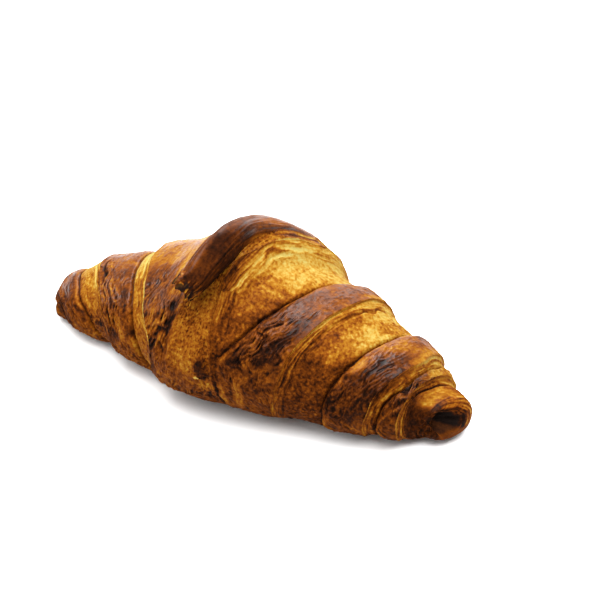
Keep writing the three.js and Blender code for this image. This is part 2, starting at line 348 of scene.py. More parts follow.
@dataclass
class Roll:
    """The croissant's body as a shape: its taper, its section, its wraps and the tongue's band over the back.

    Attributes:
        meeting_x: x of the plane where the halves meet.
        shift: what centres the croissant on the origin.
        half_length: length of each half.
        taper: radius along the roll.
        width_factor: half the section's width for each unit of radius.
        height_factor: half its height for each unit of radius.
        axis_factor: height of the axis over the floor, for each unit of the section's half height.
        tip_lift: how far the right tip is lifted.
        tip_set_back: how far both tips are set back.
        bend_length: distance along the roll at which the tips lift and set back by that much.
        floor_rounding: how softly the section meets the floor.
        floor_sink: how deep the rounded section is sunk, so that it rests on a flat patch.
        right_step: height of a step on the right, for each radius.
        left_step: height of a step on the left, for each radius.
        groove_width: half the width of a crease's groove.
        groove_depth: its depth, for each unit of a step.
        band_height: height of the tongue's band.
        band_width: its width over the top.
        band_spread: how much wider it is at the back.
        end_slant: how far the right end's face is cut back.
        slant_faces: the angle where it is cut back most.
        tongue_path: distance along the roll of the tongue's centre line, for each angle.
        saddle_height: height of the saddle under the tongue, for each angle.
        saddle_slope: length of its slope on the right.
        saddle_left_slope: length of its slope on the left.
        low_fade: by what share the right half's steps fade at the front, near the middle and at the end.
        left_low: depth of a tread's start on the left, in steps. On the right it is -1.
        belly_height: height of the soft bulge at the front.
        belly_width: its half width.
        wraps: the edges and creases.
    """

    meeting_x: float = -9.0
    shift: tuple[float, float, float] = (-0.699, -0.667, 0.0)
    half_length: dict[Side, float] = field(default_factory=lambda: {Side.RIGHT: 92.0, Side.LEFT: 72.8})
    taper: Curve = Curve(
        (
            (-74, 8.2), (-66, 11.7), (-58, 15.1), (-50, 16.8), (-40, 19.8), (-31, 23), (-20, 26), (-10, 29.9),
            (0, 32.7), (8, 33.4), (16, 32.4), (33, 28.1), (50, 24.4), (61, 21), (70, 18.4), (78, 15.5), (86, 11),
            (93.5, 8),
        )
    )
    width_factor: float = 1.1
    height_factor: float = 0.93
    axis_factor: float = 0.9
    tip_lift: float = 1.2
    tip_set_back: float = 2.8
    bend_length: float = 85.0
    floor_rounding: float = 2.2
    floor_sink: float = 0.35
    right_step: Curve = Curve(((0, 0.5), (12, 0.6), (18, 1.15), (26, 1.35), (34, 1.35)))
    left_step: Curve = Curve(((0, 1.0), (12, 1.35), (18, 1.5), (26, 1.35), (34, 1.35)))
    groove_width: float = 0.6
    groove_depth: float = 0.75
    band_height: float = 2.4
    band_width: float = 9.5
    band_spread: float = 14.0
    end_slant: float = 9.0
    slant_faces: float = 20.0
    tongue_path: Curve = Curve(
        (
            (46.5, 1.4), (53, 4.2), (62, 5.6), (71, 6.7), (85, 7.8), (93, 9.2), (100, 11.2), (107, 13.4), (121, 16.6),
            (150, 21),
        )
    )
    saddle_height: Curve = Curve(
        ((50, 0), (58, 2.2), (66, 4.6), (78, 6.0), (92, 5.4), (105, 4.0), (120, 2.2), (145, 0))
    )
    saddle_slope: float = 12.5
    saddle_left_slope: float = 6.0
    low_fade: tuple[float, float] = (0.95, 0.55)
    left_low: float = -0.45
    belly_height: float = 1.7
    belly_width: float = 12.0
    wraps: Wraps = field(default_factory=Wraps)

    def axis_height(self, u: np.ndarray) -> np.ndarray:
        """Height of the roll's axis over the floor."""
        lift = self.tip_lift * np.clip(u / self.bend_length, 0, None) ** 3
        return self.taper(u) * self.height_factor * self.axis_factor + lift

    def point(self, u: np.ndarray, degrees: np.ndarray, radius: np.ndarray, axis_u: np.ndarray) -> np.ndarray:
        """Points of the section: an oval round the axis, flattened softly where it meets the floor.

        Args:
            u: signed distance along the roll.
            degrees: angle round the axis, 0 to the front and 90 up.
            radius: distance from the axis before the oval's two factors.
            axis_u: where along the roll the axis is taken from.

        Returns:
            An array with x, y and z last.
        """
        a = np.radians(degrees)
        back = self.tip_set_back * (axis_u / self.bend_length) ** 2
        y = -radius * self.width_factor * np.cos(a) + back
        free = self.axis_height(axis_u) + radius * self.height_factor * np.sin(a)
        z = np.maximum((free + np.hypot(free, self.floor_rounding)) / 2.0 - self.floor_sink, 0.0)
        x, y, z = np.broadcast_arrays(u + self.meeting_x, y, z)
        return np.stack([x, y, z], -1) + np.array(self.shift)

    def band(self, angle: np.ndarray) -> np.ndarray:
        """Height of the tongue's band over the back: it grows over the top and ends low at the back."""
        return self.band_height * rise(angle, 78, 30) * fall(angle, 150, 90)

    def band_left(self, angle: np.ndarray) -> np.ndarray:
        """Where the band's left side runs."""
        return self.wraps.edge[Side.RIGHT](angle) - self.band_width - self.band_spread * rise(angle, 110, 90)

    def middle(self, u: np.ndarray, angle: np.ndarray, step: np.ndarray) -> np.ndarray:
        """Height of the middle wrap over the taper, with the band.

        Args:
            u: signed distance along the roll.
            angle: turn angle.
            step: height of a step there.

        Returns:
            The height.
        """
        band = self.band(angle) * smooth((u - self.band_left(angle) + 0.9) / 1.8)
        reach = np.where(u < 0, self.wraps.edge[Side.LEFT](angle), self.wraps.edge[Side.RIGHT](angle))
        share = np.where(u < 0, 1.0, rise(angle, 110, 60))
        climb = share * smooth(np.abs(u) / reach)
        return step * (0.1 + 0.9 * climb) + band

    def slant(self, u: np.ndarray, degrees: np.ndarray) -> np.ndarray:
        """How far the right end's face is cut back: most at the front, nothing at the back."""
        return self.end_slant * rise(u, 74, 16) * (1 + np.cos(np.radians(degrees - self.slant_faces))) / 2

    def calm(self, u: np.ndarray, angle: np.ndarray) -> np.ndarray:
        """How strong the steps are: the right half's are lower where the front turns under, by a share that falls
        outwards.

        Args:
            u: signed distance along the roll.
            angle: turn angle.

        Returns:
            1 for full steps, less where they are lower.
        """
        a = np.radians(angle)
        outwards = rise(u, 15, 20)
        fade = mix(self.low_fade[0], self.low_fade[1], outwards)
        return 1 - fade * smooth((0.75 - 0.3 * outwards - np.sin(a)) / 0.8) * smooth((np.cos(a) + 0.2) / 0.6)

    def belly(self, u: np.ndarray, angle: np.ndarray) -> np.ndarray:
        """Height of the soft bulge low at the front of the middle wrap."""
        return self.belly_height * hump(u + 1, self.belly_width) * smooth((30 - angle) / 40) * rise(angle, -100, 40)

    def relief_of_turns(self, u: np.ndarray, angle: np.ndarray) -> np.ndarray:
        """Height over the taper, at an angle counted on through the turns.

        A tread comes up round from its crease, then climbs slowly to its edge. A riser falls sharply at the edge, then
        steeply through the layers, then gently to the crease, which is a narrow groove.

        Args:
            u: signed distance along the roll.
            angle: angle counted on through the turns.

        Returns:
            The height.
        """
        step = np.where(u < 0, self.left_step(self.taper(u)), self.right_step(self.taper(u)))
        at = self.wraps.place(u, angle)
        round_up = np.sin(0.5 * np.pi * np.clip(at.part / 0.32, 0, 1)) ** 0.8
        low = np.where(u < 0, self.left_low, -1.0)
        tread = step * (low + (0.6 - low) * round_up + 0.4 * at.part + 0.22 * np.sin(np.pi * at.part))
        sharp = smooth(at.inner / 0.7)
        riser = step * (1 + (low - 1) * (0.25 * sharp + 0.4 * smooth(at.part / 0.45) + 0.35 * at.part))
        middle = self.middle(u, angle, step)
        top = self.middle(self.wraps.edge[Side.RIGHT](angle), angle, step)
        high = 1 - smooth(at.part / 0.5)
        first = top * high - step * (1 - high) * np.minimum(at.width / 4, 1)
        height = np.where(at.riser, np.where((at.turn == 0) & (u >= 0), first, riser), tread)
        height = np.where((at.turn == 0) & ~at.riser, middle, height)
        groove = hump(at.from_crease(), self.groove_width) * smooth(at.width / 5.0) * self.groove_depth * step
        return (height - groove) * np.where(u > 0, self.calm(u, angle), 1.0)

    def saddle(self, u: np.ndarray, angle: np.ndarray) -> np.ndarray:
        """Height of the dough that carries the tongue: highest under the tongue, with a long slope of cut layers on
        the right and a short one on the left.

        Args:
            u: signed distance along the roll.
            angle: turn angle.

        Returns:
            The height that the saddle adds.
        """
        off = u - self.tongue_path(angle)
        slope = np.where(off > 0, fall(off, 1.5, self.saddle_slope), fall(-off, 0, self.saddle_left_slope))
        return self.saddle_height(angle) * slope

    def relief(self, u: np.ndarray, angle: np.ndarray) -> np.ndarray:
        """Height over the taper. The first edges fade in on the underside, where a turn begins.

        Args:
            u: signed distance along the roll.
            angle: turn angle.

        Returns:
            The height.
        """
        faded = smooth((angle - self.wraps.start) / 25.0)
        steps = mix(self.relief_of_turns(u, angle + FULL_TURN), self.relief_of_turns(u, angle), faded)
        return steps + self.saddle(u, angle) + self.belly(u, angle)


# ------------------------------------------------------------------------------------------------------------- meshes


@dataclass
class Skin:
    """A closed surface on a grid of rings, with a value of each attribute at every vertex.

    Attributes:
        points: x, y and z, with rings first and the ring's points second.
        poles: the two points that close the ends.
        values: attribute name to an array over the grid.
    """

    points: np.ndarray
    poles: tuple[np.ndarray, np.ndarray]
    values: dict[str, np.ndarray]

    def normals(self) -> np.ndarray:
        """Normals of the grid: the cross product of the directions along the roll and round the ring.

        Returns:
            A unit vector at each vertex.
        """
        along = np.gradient(self.points, axis=0)
        round_ring = np.roll(self.points, -1, axis=1) - np.roll(self.points, 1, axis=1)
        normal = np.cross(along, round_ring)
        return normal / np.maximum(np.linalg.norm(normal, axis=-1, keepdims=True), 1e-9)

    def to_objects(self, names: tuple[str, ...]) -> list[bpy.types.Object]:
        """Writes the grid as meshes of quads, closed at both ends of the first and last by triangles to a pole.

        The rings are shared out evenly between the named pieces. Neighbours share a ring and its normals, so no seam
        shows.

        Args:
            names: one name for each piece.

        Returns:
            The new objects, linked to the scene.
        """
        cuts = np.linspace(0, len(self.points) - 1, len(names) + 1).astype(int)
        normals = self.normals()
        return [
            self._piece(name, int(first), int(last), normals) for name, first, last in zip(names, cuts[:-1], cuts[1:])
        ]

    def _piece(self, name: str, first: int, last: int, normals: np.ndarray) -> bpy.types.Object:
        """Writes the rings from first to last as one object.

        Args:
            name: the object's name.
            first: number of the first ring.
            last: number of the last ring.
            normals: normals of the whole grid.

        Returns:
            The object.
        """
        count = self.points.shape[1]
        rings = last - first + 1
        start_pole, end_pole = first == 0, last == len(self.points) - 1
        rows = slice(first, last + 1)
        extra = [self.poles[0]] * start_pole + [self.poles[1]] * end_pole
        verts = np.concatenate([self.points[rows].reshape(-1, 3), *[p[None] for p in extra]]) * METRES
        ring, i = np.meshgrid(np.arange(rings - 1), np.arange(count), indexing="ij")
        here, after = ring * count + i, ring * count + (i + 1) % count
        quads = np.stack([here, here + count, after + count, after], -1)
        around = np.arange(count)
        after = (around + 1) % count
        fans = []
        if start_pole:
            fans.append(np.stack([np.full(count, rings * count), around, after], -1))
        if end_pole:
            base = (rings - 1) * count
            fans.append(np.stack([np.full(count, len(verts) - 1), base + after, base + around], -1))
        corner_lists = [quads.reshape(-1, 4), *fans]
        loops = np.concatenate([c.ravel() for c in corner_lists])
        sizes = np.concatenate([np.full(len(c), c.shape[1]) for c in corner_lists])
        mesh = bpy.data.meshes.new(name)
        mesh.vertices.add(len(verts))
        mesh.vertices.foreach_set("co", verts.ravel())
        mesh.loops.add(len(loops))
        mesh.loops.foreach_set("vertex_index", loops)
        mesh.polygons.add(len(sizes))
        mesh.polygons.foreach_set("loop_start", np.concatenate([[0], np.cumsum(sizes)[:-1]]))
        mesh.polygons.foreach_set("use_smooth", np.ones(len(sizes), dtype=bool))
        mesh.update(calc_edges=True)
        for key, value in self.values.items():
            wide = value.reshape(*value.shape[:2], -1)
            ends = [wide[0].mean(0)] * start_pole + [wide[-1].mean(0)] * end_pole
            flat = np.concatenate([wide[rows].reshape(-1, wide.shape[-1]), *[e[None] for e in ends]])
            kind, slot = ("FLOAT_VECTOR", "vector") if wide.shape[-1] == 3 else ("FLOAT", "value")
            mesh.attributes.new(key, kind, "POINT").data.foreach_set(slot, flat.ravel())
        tips = [np.array([-1.0, 0, 0])] * start_pole + [np.array([1.0, 0, 0])] * end_pole
        flat = np.concatenate([normals[rows].reshape(-1, 3), *[t[None] for t in tips]])
        mesh.normals_split_custom_set_from_vertices(flat.tolist())
        obj = bpy.data.objects.new(name, mesh)
        bpy.context.scene.collection.objects.link(obj)
        return obj


@dataclass(frozen=True)
class Bake:
    """What the oven did at one place of the crust.

    Attributes:
        u: distance along the roll.
        angle: turn angle.
        across: reach across the wrap.
        along: reach along the wrap.
        browning: how brown the place is.
        torn: how torn its skin is, with raised rusty ridges.
        burnt: how burnt it is.
    """

    u: float
    angle: float
    across: float
    along: float
    browning: float
    torn: float = 0.0
    burnt: float = 0.0


# How brown the smooth wraps and the layered sides are round the roll, where nothing else happened: the top is paler,
# the front that turns under is darker. This is partly the oven's browning and partly painted light and shade: the top
# is painted paler where the light falls on it, the front darker where it is in shade.
TREAD_BROWNING_AND_SHADE = Curve(
    (
        (-52, 0.70), (-20, 0.70), (10, 0.74), (35, 0.82), (55, 0.81), (70, 0.71), (95, 0.53), (125, 0.52), (160, 0.60),
        (210, 0.74), (260, 0.68),
    )
)
RISER_BROWNING_AND_SHADE = Curve(
    (
        (-52, 0.80), (-10, 0.80), (20, 0.77), (45, 0.66), (60, 0.54), (75, 0.41), (90, 0.31), (125, 0.22), (170, 0.40),
        (210, 0.60), (260, 0.72),
    )
)
MOST_BROWN = 1.1
# The places that the oven treated on their own. Each row gives a Bake's values in their order.
# First the middle wrap's left side, then outwards to the left end.
LEFT_BAKES = tuple(
    Bake(*row)
    for row in (
        (-27, 106, 9, 13, 0.36), (-13, 97, 5, 9, 0.25), (-19, 84, 7, 8, 0.44), (-15, 62, 7, 9, 0.70),
        (-19, 48, 4.5, 8, 0.72, 0.9), (-9, 72, 4, 10, 0.34), (-17.5, 82, 4, 5, 0.38), (-8, 50, 3, 5, 0.50),
        (-9, 20, 4.0, 13, 0.60, 1.0), (-15, 22, 3.4, 9, 0.63, 0.9), (-21, 33, 1.4, 4.5, 0.9, 0, 1.0),
        (-12, -1, 2.0, 6, 0.9, 0, 1.0), (-7, 30, 2.2, 5, 0.86, 0, 0.7), (-1.5, 9, 2.0, 5, 0.48),
        (-1, -14, 6, 6, 0.62), (-8, 0, 4, 7, 0.68), (-13, -30, 8, 7, 0.66), (-5, -22, 2.5, 7, 0.56),
        (-19, -24, 2.0, 6, 0.80), (-33, 79, 4, 14, 0.08), (-28, 54, 4, 8, 0.28), (-25, 36, 4, 10, 0.40),
        (-21, -2, 4, 14, 0.50), (-50, 100, 8, 9, 0.52), (-50, 74, 3.0, 5.0, 0.60, 0.8),
        (-38, 57, 4.5, 2.2, 0.62, 0.5), (-50, 56, 3.0, 5.0, 0.76, 0.7), (-46, 60, 2.5, 4, 0.70, 0.6),
        (-42, 40, 5.5, 7, 0.54, 1.0), (-38, 24, 5.5, 6.5, 0.66, 0.9), (-36, 0, 3.0, 4.0, 0.86, 0.4, 0.8),
        (-31.5, 9, 1.8, 4.0, 0.44), (-43, -32, 8, 9, 0.62), (-32, -20, 5, 6, 0.62), (-59, 76, 3.5, 9, 0.09),
        (-57, 54, 3, 8, 0.34), (-54, 34, 4, 6, 0.45), (-48, -24, 5, 8, 0.60), (-61, 39, 1.6, 8, 0.52),
        (-70, 46, 4, 6, 0.60), (-64, 28, 3, 6, 0.70), (-65, 1, 3, 5, 0.80, 0.3, 0.4), (-30, 175, 9, 14, 0.52),
        (-22, 205, 5, 8, 0.74, 0.8), (-46, 150, 5, 8, 0.66, 0.6), (-52, 200, 7, 9, 0.55), (-10, 160, 8, 12, 0.46),
        (-24, 150, 2, 5, 0.86, 0, 0.7),
    )
)
# The middle wrap's right side and the wraps on the right, outwards to the right end.
RIGHT_BAKES = tuple(
    Bake(*row)
    for row in (
        (35.5, 86, 1.6, 10, 0.50), (39.5, 109, 2.0, 7, 0.50), (36, 67, 4, 9, 0.74), (44, 93, 5, 9, 0.60),
        (42, 69, 2.6, 5, 0.60, 0.4), (38, 55, 2.6, 5, 0.86), (36, 43, 2, 5, 0.90), (30, 39, 4.5, 12, 0.72, 1.0),
        (25, 22, 4.0, 7, 0.74, 1.0), (22.5, 20, 1.8, 3.5, 0.92, 0, 1.0), (31, 27, 2.6, 4, 0.92, 0, 1.0),
        (35, 38, 1.8, 4, 0.92, 0, 1.0), (35, 21, 1.6, 3.5, 0.9, 0, 0.9), (15, 3, 4, 5, 0.74, 0.4),
        (18, 33, 5, 6, 0.68), (19, -8, 8, 7, 0.74), (26, -26, 9, 7, 0.70), (23, -14, 1.6, 7, 0.48),
        (17, -20, 1.2, 6, 0.46), (11, -13, 4, 3, 0.52), (33, 3, 2.5, 9, 0.66, 0.5), (58, 86, 5, 13, 0.27),
        (61, 97, 2.5, 7, 0.14), (53, 79, 1.6, 3.5, 0.42), (53, 54, 2.6, 6, 0.44), (51, 79, 2.2, 6, 0.50),
        (62, 114, 3, 8, 0.40), (27, 106, 6, 10, 0.20), (51, 39, 1.8, 3, 0.42), (47, 52, 3, 6, 0.58),
        (47, 15, 8, 11, 0.74), (45, -15, 8, 9, 0.76), (65, 68, 4, 8, 0.50, 0.4), (66, 88, 4, 6, 0.48),
        (66, 46, 3.2, 9, 0.86, 0.6), (58, 12, 6, 8, 0.84, 0.6), (65, 17, 1.8, 3, 0.92, 0, 1.0),
        (60, 49, 1.4, 3, 0.44), (69, 38, 2.5, 9, 0.86), (70, 58, 1.6, 6, 0.76), (72.5, 42, 2.0, 9, 0.76),
        (61, 0, 2.0, 3.5, 0.86, 0.3, 0.6), (76, 64, 2.4, 9, 0.54), (77.2, 45, 1.6, 9, 0.80), (73, 48, 1.5, 6, 0.66),
        (80, 62, 2.2, 11, 0.86, 1.0), (79, 42, 2, 6, 0.80, 0.6), (83, 76, 1.5, 5, 0.66), (79, 92, 2.5, 7, 0.38),
        (77, 29, 2.0, 6, 0.86, 0.9), (83, 65, 2.2, 8, 0.70), (79, 45, 2.4, 8, 0.74), (75, 12, 4, 7, 0.72),
        (90, 82, 4, 6, 0.50), (93.5, 111, 3, 12, 0.34), (83.5, 128, 3, 9, 0.38), (87, 0, 4, 9, 0.86),
        (45, 165, 6, 10, 0.66, 0.7), (38, 195, 5, 8, 0.70, 0.8), (40, 205, 2, 5, 0.9, 0, 0.8),
        (68, 150, 5, 8, 0.66, 0.6), (70, 190, 5, 6, 0.62), (69, 168, 1.8, 4, 0.9, 0, 0.8), (22, 190, 9, 14, 0.46),
        (60, 175, 6, 9, 0.42),
    )
)


@dataclass
class Body:
    """The croissant's body: the roll with its crust.

    Attributes:
        roll: its shape.
        names: its pieces, from left to right.
        columns: rings between the caps.
        cap_rings: rings of each end's cap.
        upper_points: points of a ring on the side that is seen.
        lower_points: points of a ring on the side that it lies on.
        lower_from: the angle where that side begins.
        lower_to: the angle where it ends.
        right_cap: distance out and share of the radius, from the right cap's border inwards.
        left_cap: the same for the left cap.
        right_floor: how far in the right end's hollow goes.
        left_floor: how far in the left end's dent goes.
        hollow_shift: how far forward and up the hollow's middle lies.
        ring_seam: the angle where the wobble fades before a turn ends.
        raggedness: how ragged the caps are.
    """

    roll: Roll
    names: tuple[str, ...] = ("left_end", "left_wraps", "middle_wraps", "right_wraps", "right_end")
    columns: int = 1010
    cap_rings: int = 60
    upper_points: int = 300
    lower_points: int = 36
    lower_from: float = -120.0
    lower_to: float = -60.0
    right_cap: Knots = (
        (0, 1), (1.3, 0.95), (2.1, 0.86), (2.3, 0.74), (2.2, 0.62), (1.7, 0.5), (0.2, 0.4), (-3.2, 0.32), (-6, 0.24),
    )
    left_cap: Knots = ((0, 1), (0.9, 0.95), (1.7, 0.85), (2.1, 0.7), (2.0, 0.55), (1.2, 0.4), (0.2, 0.3))
    right_floor: float = -6.5
    left_floor: float = 0.0
    hollow_shift: tuple[float, float] = (-9.5, 4.6)
    ring_seam: float = 296.0
    raggedness: float = 0.9

    def ring_angles(self) -> np.ndarray:
        """Angles of a ring's points: close together where the body is seen, wider on the side it lies on.

        Returns:
            The angles in degrees.
        """
        upper = np.linspace(self.lower_to, self.lower_from + FULL_TURN, self.upper_points, endpoint=False)
        lower = np.linspace(self.lower_from, self.lower_to, self.lower_points, endpoint=False) + FULL_TURN
        return np.concatenate([upper, lower])

    def _cap(self, knots: Knots) -> tuple[np.ndarray, np.ndarray]:
        """How far out each ring of an end's cap is, and its share of the end's radius: curves through the knots.

        Args:
            knots: rows of distance out and share of the radius, from the cap's border inwards.

        Returns:
            The distances and the shares, one of each for a ring.
        """
        steps = np.linspace(0, 1, self.cap_rings + 1)[1:]
        at = np.linspace(0, 1, len(knots))
        return tuple(Curve(tuple(zip(at, column)))(steps) for column in zip(*knots))

    def grid(self) -> tuple[np.ndarray, np.ndarray, np.ndarray, np.ndarray]:
        """The rings: where each is, where its axis is taken from, its share of the radius, how deep in a cap it is.

        Returns:
            Those four, one value of each for a ring.
        """
        right, left = self.roll.half_length[Side.RIGHT], self.roll.half_length[Side.LEFT]
        steps = np.linspace(0, 1, self.cap_rings + 1)[1:]
        (right_out, right_part), (left_out, left_part) = self._cap(self.right_cap), self._cap(self.left_cap)
        middle = np.linspace(-left, right, self.columns)
        u = np.concatenate([(-left - left_out)[::-1], middle, right + right_out])
        axis_u = np.clip(u, -left, right)
        axis_u[: self.cap_rings] = -left
        axis_u[-self.cap_rings :] = right
        part = np.concatenate([left_part[::-1], np.ones(self.columns), right_part])
        depth = np.concatenate([steps[::-1], np.zeros(self.columns), steps])
        return u, axis_u, part, depth

    def build(self) -> list[bpy.types.Object]:
        """Builds the body's meshes with its crust attributes.

        The radius is the taper, plus the relief of the wraps at a place that wobbles a little, plus the crust's own
        height. Towards the middle of an end's cap the radius shrinks and grows ragged.

        Returns:
            The body's pieces, from left to right.
        """
        roll = self.roll
        u, axis_u, part, depth = (v[:, None] for v in self.grid())
        degrees = self.ring_angles()[None, :]
        angle = roll.wraps.turn_angle(degrees)
        taper = roll.taper(axis_u)
        arc = taper * np.radians(angle)
        wobble = 0.55 * Roughness(3)(axis_u / 13 + 40, arc / 13) + 0.35 * Roughness(4)(axis_u / 5, arc / 5)
        calm = smooth((angle - roll.wraps.start) / 12) * (1 - smooth((angle - self.ring_seam) / 12))
        warped = axis_u + wobble * calm
        crust = Crust(Ground(roll, warped, angle, taper, depth))
        radius = taper + roll.relief(warped, angle) + crust.height * (1 - 0.6 * smooth(depth * 2))
        turned = np.radians(degrees)
        tatters = Roughness(43)(1.3 * np.cos(turned) + 5, 1.3 * np.sin(turned) + 0.8 * depth)
        ragged = 1 + self.raggedness * (1 - part) * tatters
        points = roll.point(u - roll.slant(u, degrees), degrees, radius * part * ragged, axis_u)
        points[..., 0] += crust.overhang * np.sign(axis_u)
        inward = (1 - part) * (u > 0)
        points[..., 1] += self.hollow_shift[0] * inward
        points[..., 2] += self.hollow_shift[1] * inward
        ends = (self._pole(points[0], Side.LEFT, self.left_floor), self._pole(points[-1], Side.RIGHT, self.right_floor))
        return Skin(points, ends, crust.values()).to_objects(self.names)

    def _pole(self, ring: np.ndarray, side: Side, floor: float) -> np.ndarray:
        """The middle of an end's innermost ring, a little deeper than the ring."""
        depth = floor - (self.right_cap if side is Side.RIGHT else self.left_cap)[-1][0]
        return ring.mean(0) + np.array([side.value * depth, 0.0, 0.0])


@dataclass
class Ground:
    """The body's points before they are baked: where each lies on the wraps, and the noise that it carries.

    Attributes:
        roll: the body's shape.
        u: signed distance along the roll.
        angle: turn angle.
        taper: radius of the roll there.
        depth: how far into an end's hollow the ring is, 0 on the body.
        left_tag: what is added to the numbers of the left half's treads and risers.
        first_cut_depth: how far in the cut layers of the first riser on the right reach.
        cut_depth: how far in those of the other risers reach.
        tag_stride: how far the noise moves from one tread or riser to the next, so that none repeats.
    """

    roll: Roll
    u: np.ndarray
    angle: np.ndarray
    taper: np.ndarray
    depth: np.ndarray
    left_tag: float = 50.0
    first_cut_depth: float = 8.0
    cut_depth: float = 7.5
    tag_stride: float = 31.7

    def __post_init__(self) -> None:
        """Works out the places, then the noise, then the cut layers."""
        self.at = self.roll.wraps.place(self.u, self.angle)
        spread = (np.broadcast_to(v, self.at.inner.shape) for v in (self.u, self.angle, self.taper, self.depth))
        self.u, self.angle, self.taper, self.depth = spread
        self._find_places()
        self._make_noise()
        self._cut_layers()

    def _find_places(self) -> None:
        """Numbers the treads and risers, and measures across and along them.

        Across is counted from the inner border, on the middle wrap from the plane where the halves meet, and on the
        tongue's saddle from the tongue. Along is the arc: radius times angle. Up is the sine of the angle.
        """
        at, u, angle = self.at, self.u, self.angle
        self.tag = at.turn * 2.0 + at.riser + np.where(u < 0, self.left_tag, 0.0)
        self.shift = self.tag * self.tag_stride
        self.right = u > 0
        self.first = at.turn == 0
        self.middle = self.first & ~at.riser
        self.tread = (~at.riser).astype(float)
        self.off_tongue = u - self.roll.tongue_path(angle)
        self.saddle = smooth(self.roll.saddle(u, angle) / 1.2) * (self.off_tongue > 0)
        self.on_saddle = (self.saddle > 0.5) & self.first
        self.layered = at.riser | self.on_saddle
        across = np.where(self.middle, u, at.inner) + self.depth * 12
        self.across = np.where(self.on_saddle, self.off_tongue + 40, across)
        self.arc = self.taper * np.radians(angle - 60)
        self.up = np.sin(np.radians(angle))
        self.low = fall(self.up, -0.15, 0.95)
        self.under = rise(-self.up, 0.6, 0.3)

    def _make_noise(self) -> None:
        """Makes noise of several sizes: blotches, mottling, streaks and torn ridges follow the wraps, the rest don't.

        Ridges are 1 less the size of noise stretched along the wrap and swayed by coarser noise, at two sizes.
        """
        across, arc, shift = self.across, self.arc, self.shift
        self.blotch = Roughness(21).layered(across / 3.4 + shift, arc / 4.6, 3)
        self.mottle = Roughness(24).layered(across / 1.1 + shift, arc / 1.5, 2)
        self.streak = Roughness(22)(across / 1.1 + 0.9 * self.blotch + shift, arc / 3.4) + 0.4 * self.blotch
        self.grain = Roughness(25).layered(self.u / 0.8, arc / 0.9, 2)
        self.bubble = Roughness(28).layered(self.u / 2.4, arc / 2.7, 3)
        self.patch = Roughness(29).layered(self.u / 8, arc / 9, 2)
        self.lump = Roughness(27).layered(self.u / 22, arc / 22, 2)
        sway = 0.9 * Roughness(34)(across / 5 + shift, arc / 6)
        wide = 1 - 2.4 * np.abs(Roughness(35)(across / 1.9 + 1.5 * sway + shift, arc / 6.4 + 0.8 * sway))
        fine = 1 - 2.2 * np.abs(Roughness(36)(across / 0.95 + 1.3 * sway + shift, arc / 3.0 - 0.5 * sway))
        self.ridges = 0.6 * wide + 0.4 * fine

    def _cut_layers(self) -> None:
        """Places the cut layers: close to the edge, on every riser that is wide enough, and over the saddle.

        Their lines are noise stretched far along the wrap, bent and broken by coarser noise.
        """
        at, across, arc, shift = self.at, self.across, self.arc, self.shift
        own = self.first & (self.u >= 0)
        reach = np.where(own, self.first_cut_depth, self.cut_depth) * (0.85 + 0.5 * Roughness(9)(arc / 12, self.tag))
        cut = np.where(at.riser, 1 - smooth((at.inner - 0.45 * reach) / (0.55 * reach)), 0.0)
        cut = cut * smooth(at.width / 2.5) * np.where(own, rise(self.angle, 22, 16), 1.0)
        self.cut = np.maximum(cut, self.saddle * self.first)
        bend = Roughness(12)(arc / 9, shift) + 0.45 * Roughness(15)(across / 2.2 + shift, arc / 3.5)
        coarse = Roughness(13)(across / 1.25 + bend + shift, arc / 17)
        fine = Roughness(14)(across / 0.6 + bend + shift, arc / 7)
        self.lines = np.clip(1.25 * (coarse + 0.6 * fine), -1.1, 1.1)

    def facing(self, angle: float) -> np.ndarray:
        """1 where the surface faces the given angle, -1 where it faces away: the cosine of the difference."""
        return np.cos(np.radians(self.angle - angle))

    def reach(self, bake: Bake) -> np.ndarray:
        """How much a baked place covers each point: a bell across and along its own tread or riser, with a ragged rim.

        Args:
            bake: the place.

        Returns:
            1 in the middle of the place, 0 away from it.
        """
        own = self.roll.wraps.place(np.array([bake.u]), np.array([bake.angle]))
        own_tag = own.turn[0] * 2.0 + own.riser[0] + (self.left_tag if bake.u < 0 else 0.0)
        same = self.middle if own_tag % self.left_tag == 0 else self.tag == own_tag
        on_wrap = (self.at.part - own.part[0]) * 0.5 * (self.at.width + own.width[0])
        off_across = np.where(self.middle, self.u - bake.u, on_wrap)
        off_along = np.radians(self.angle - bake.angle) * self.taper
        bell = np.exp(-((off_across / bake.across) ** 2) - (off_along / bake.along) ** 2)
        return same * smooth(bell * 1.35 * (1 + 0.5 * (self.blotch + 0.7 * self.mottle) * (1 - bell)))


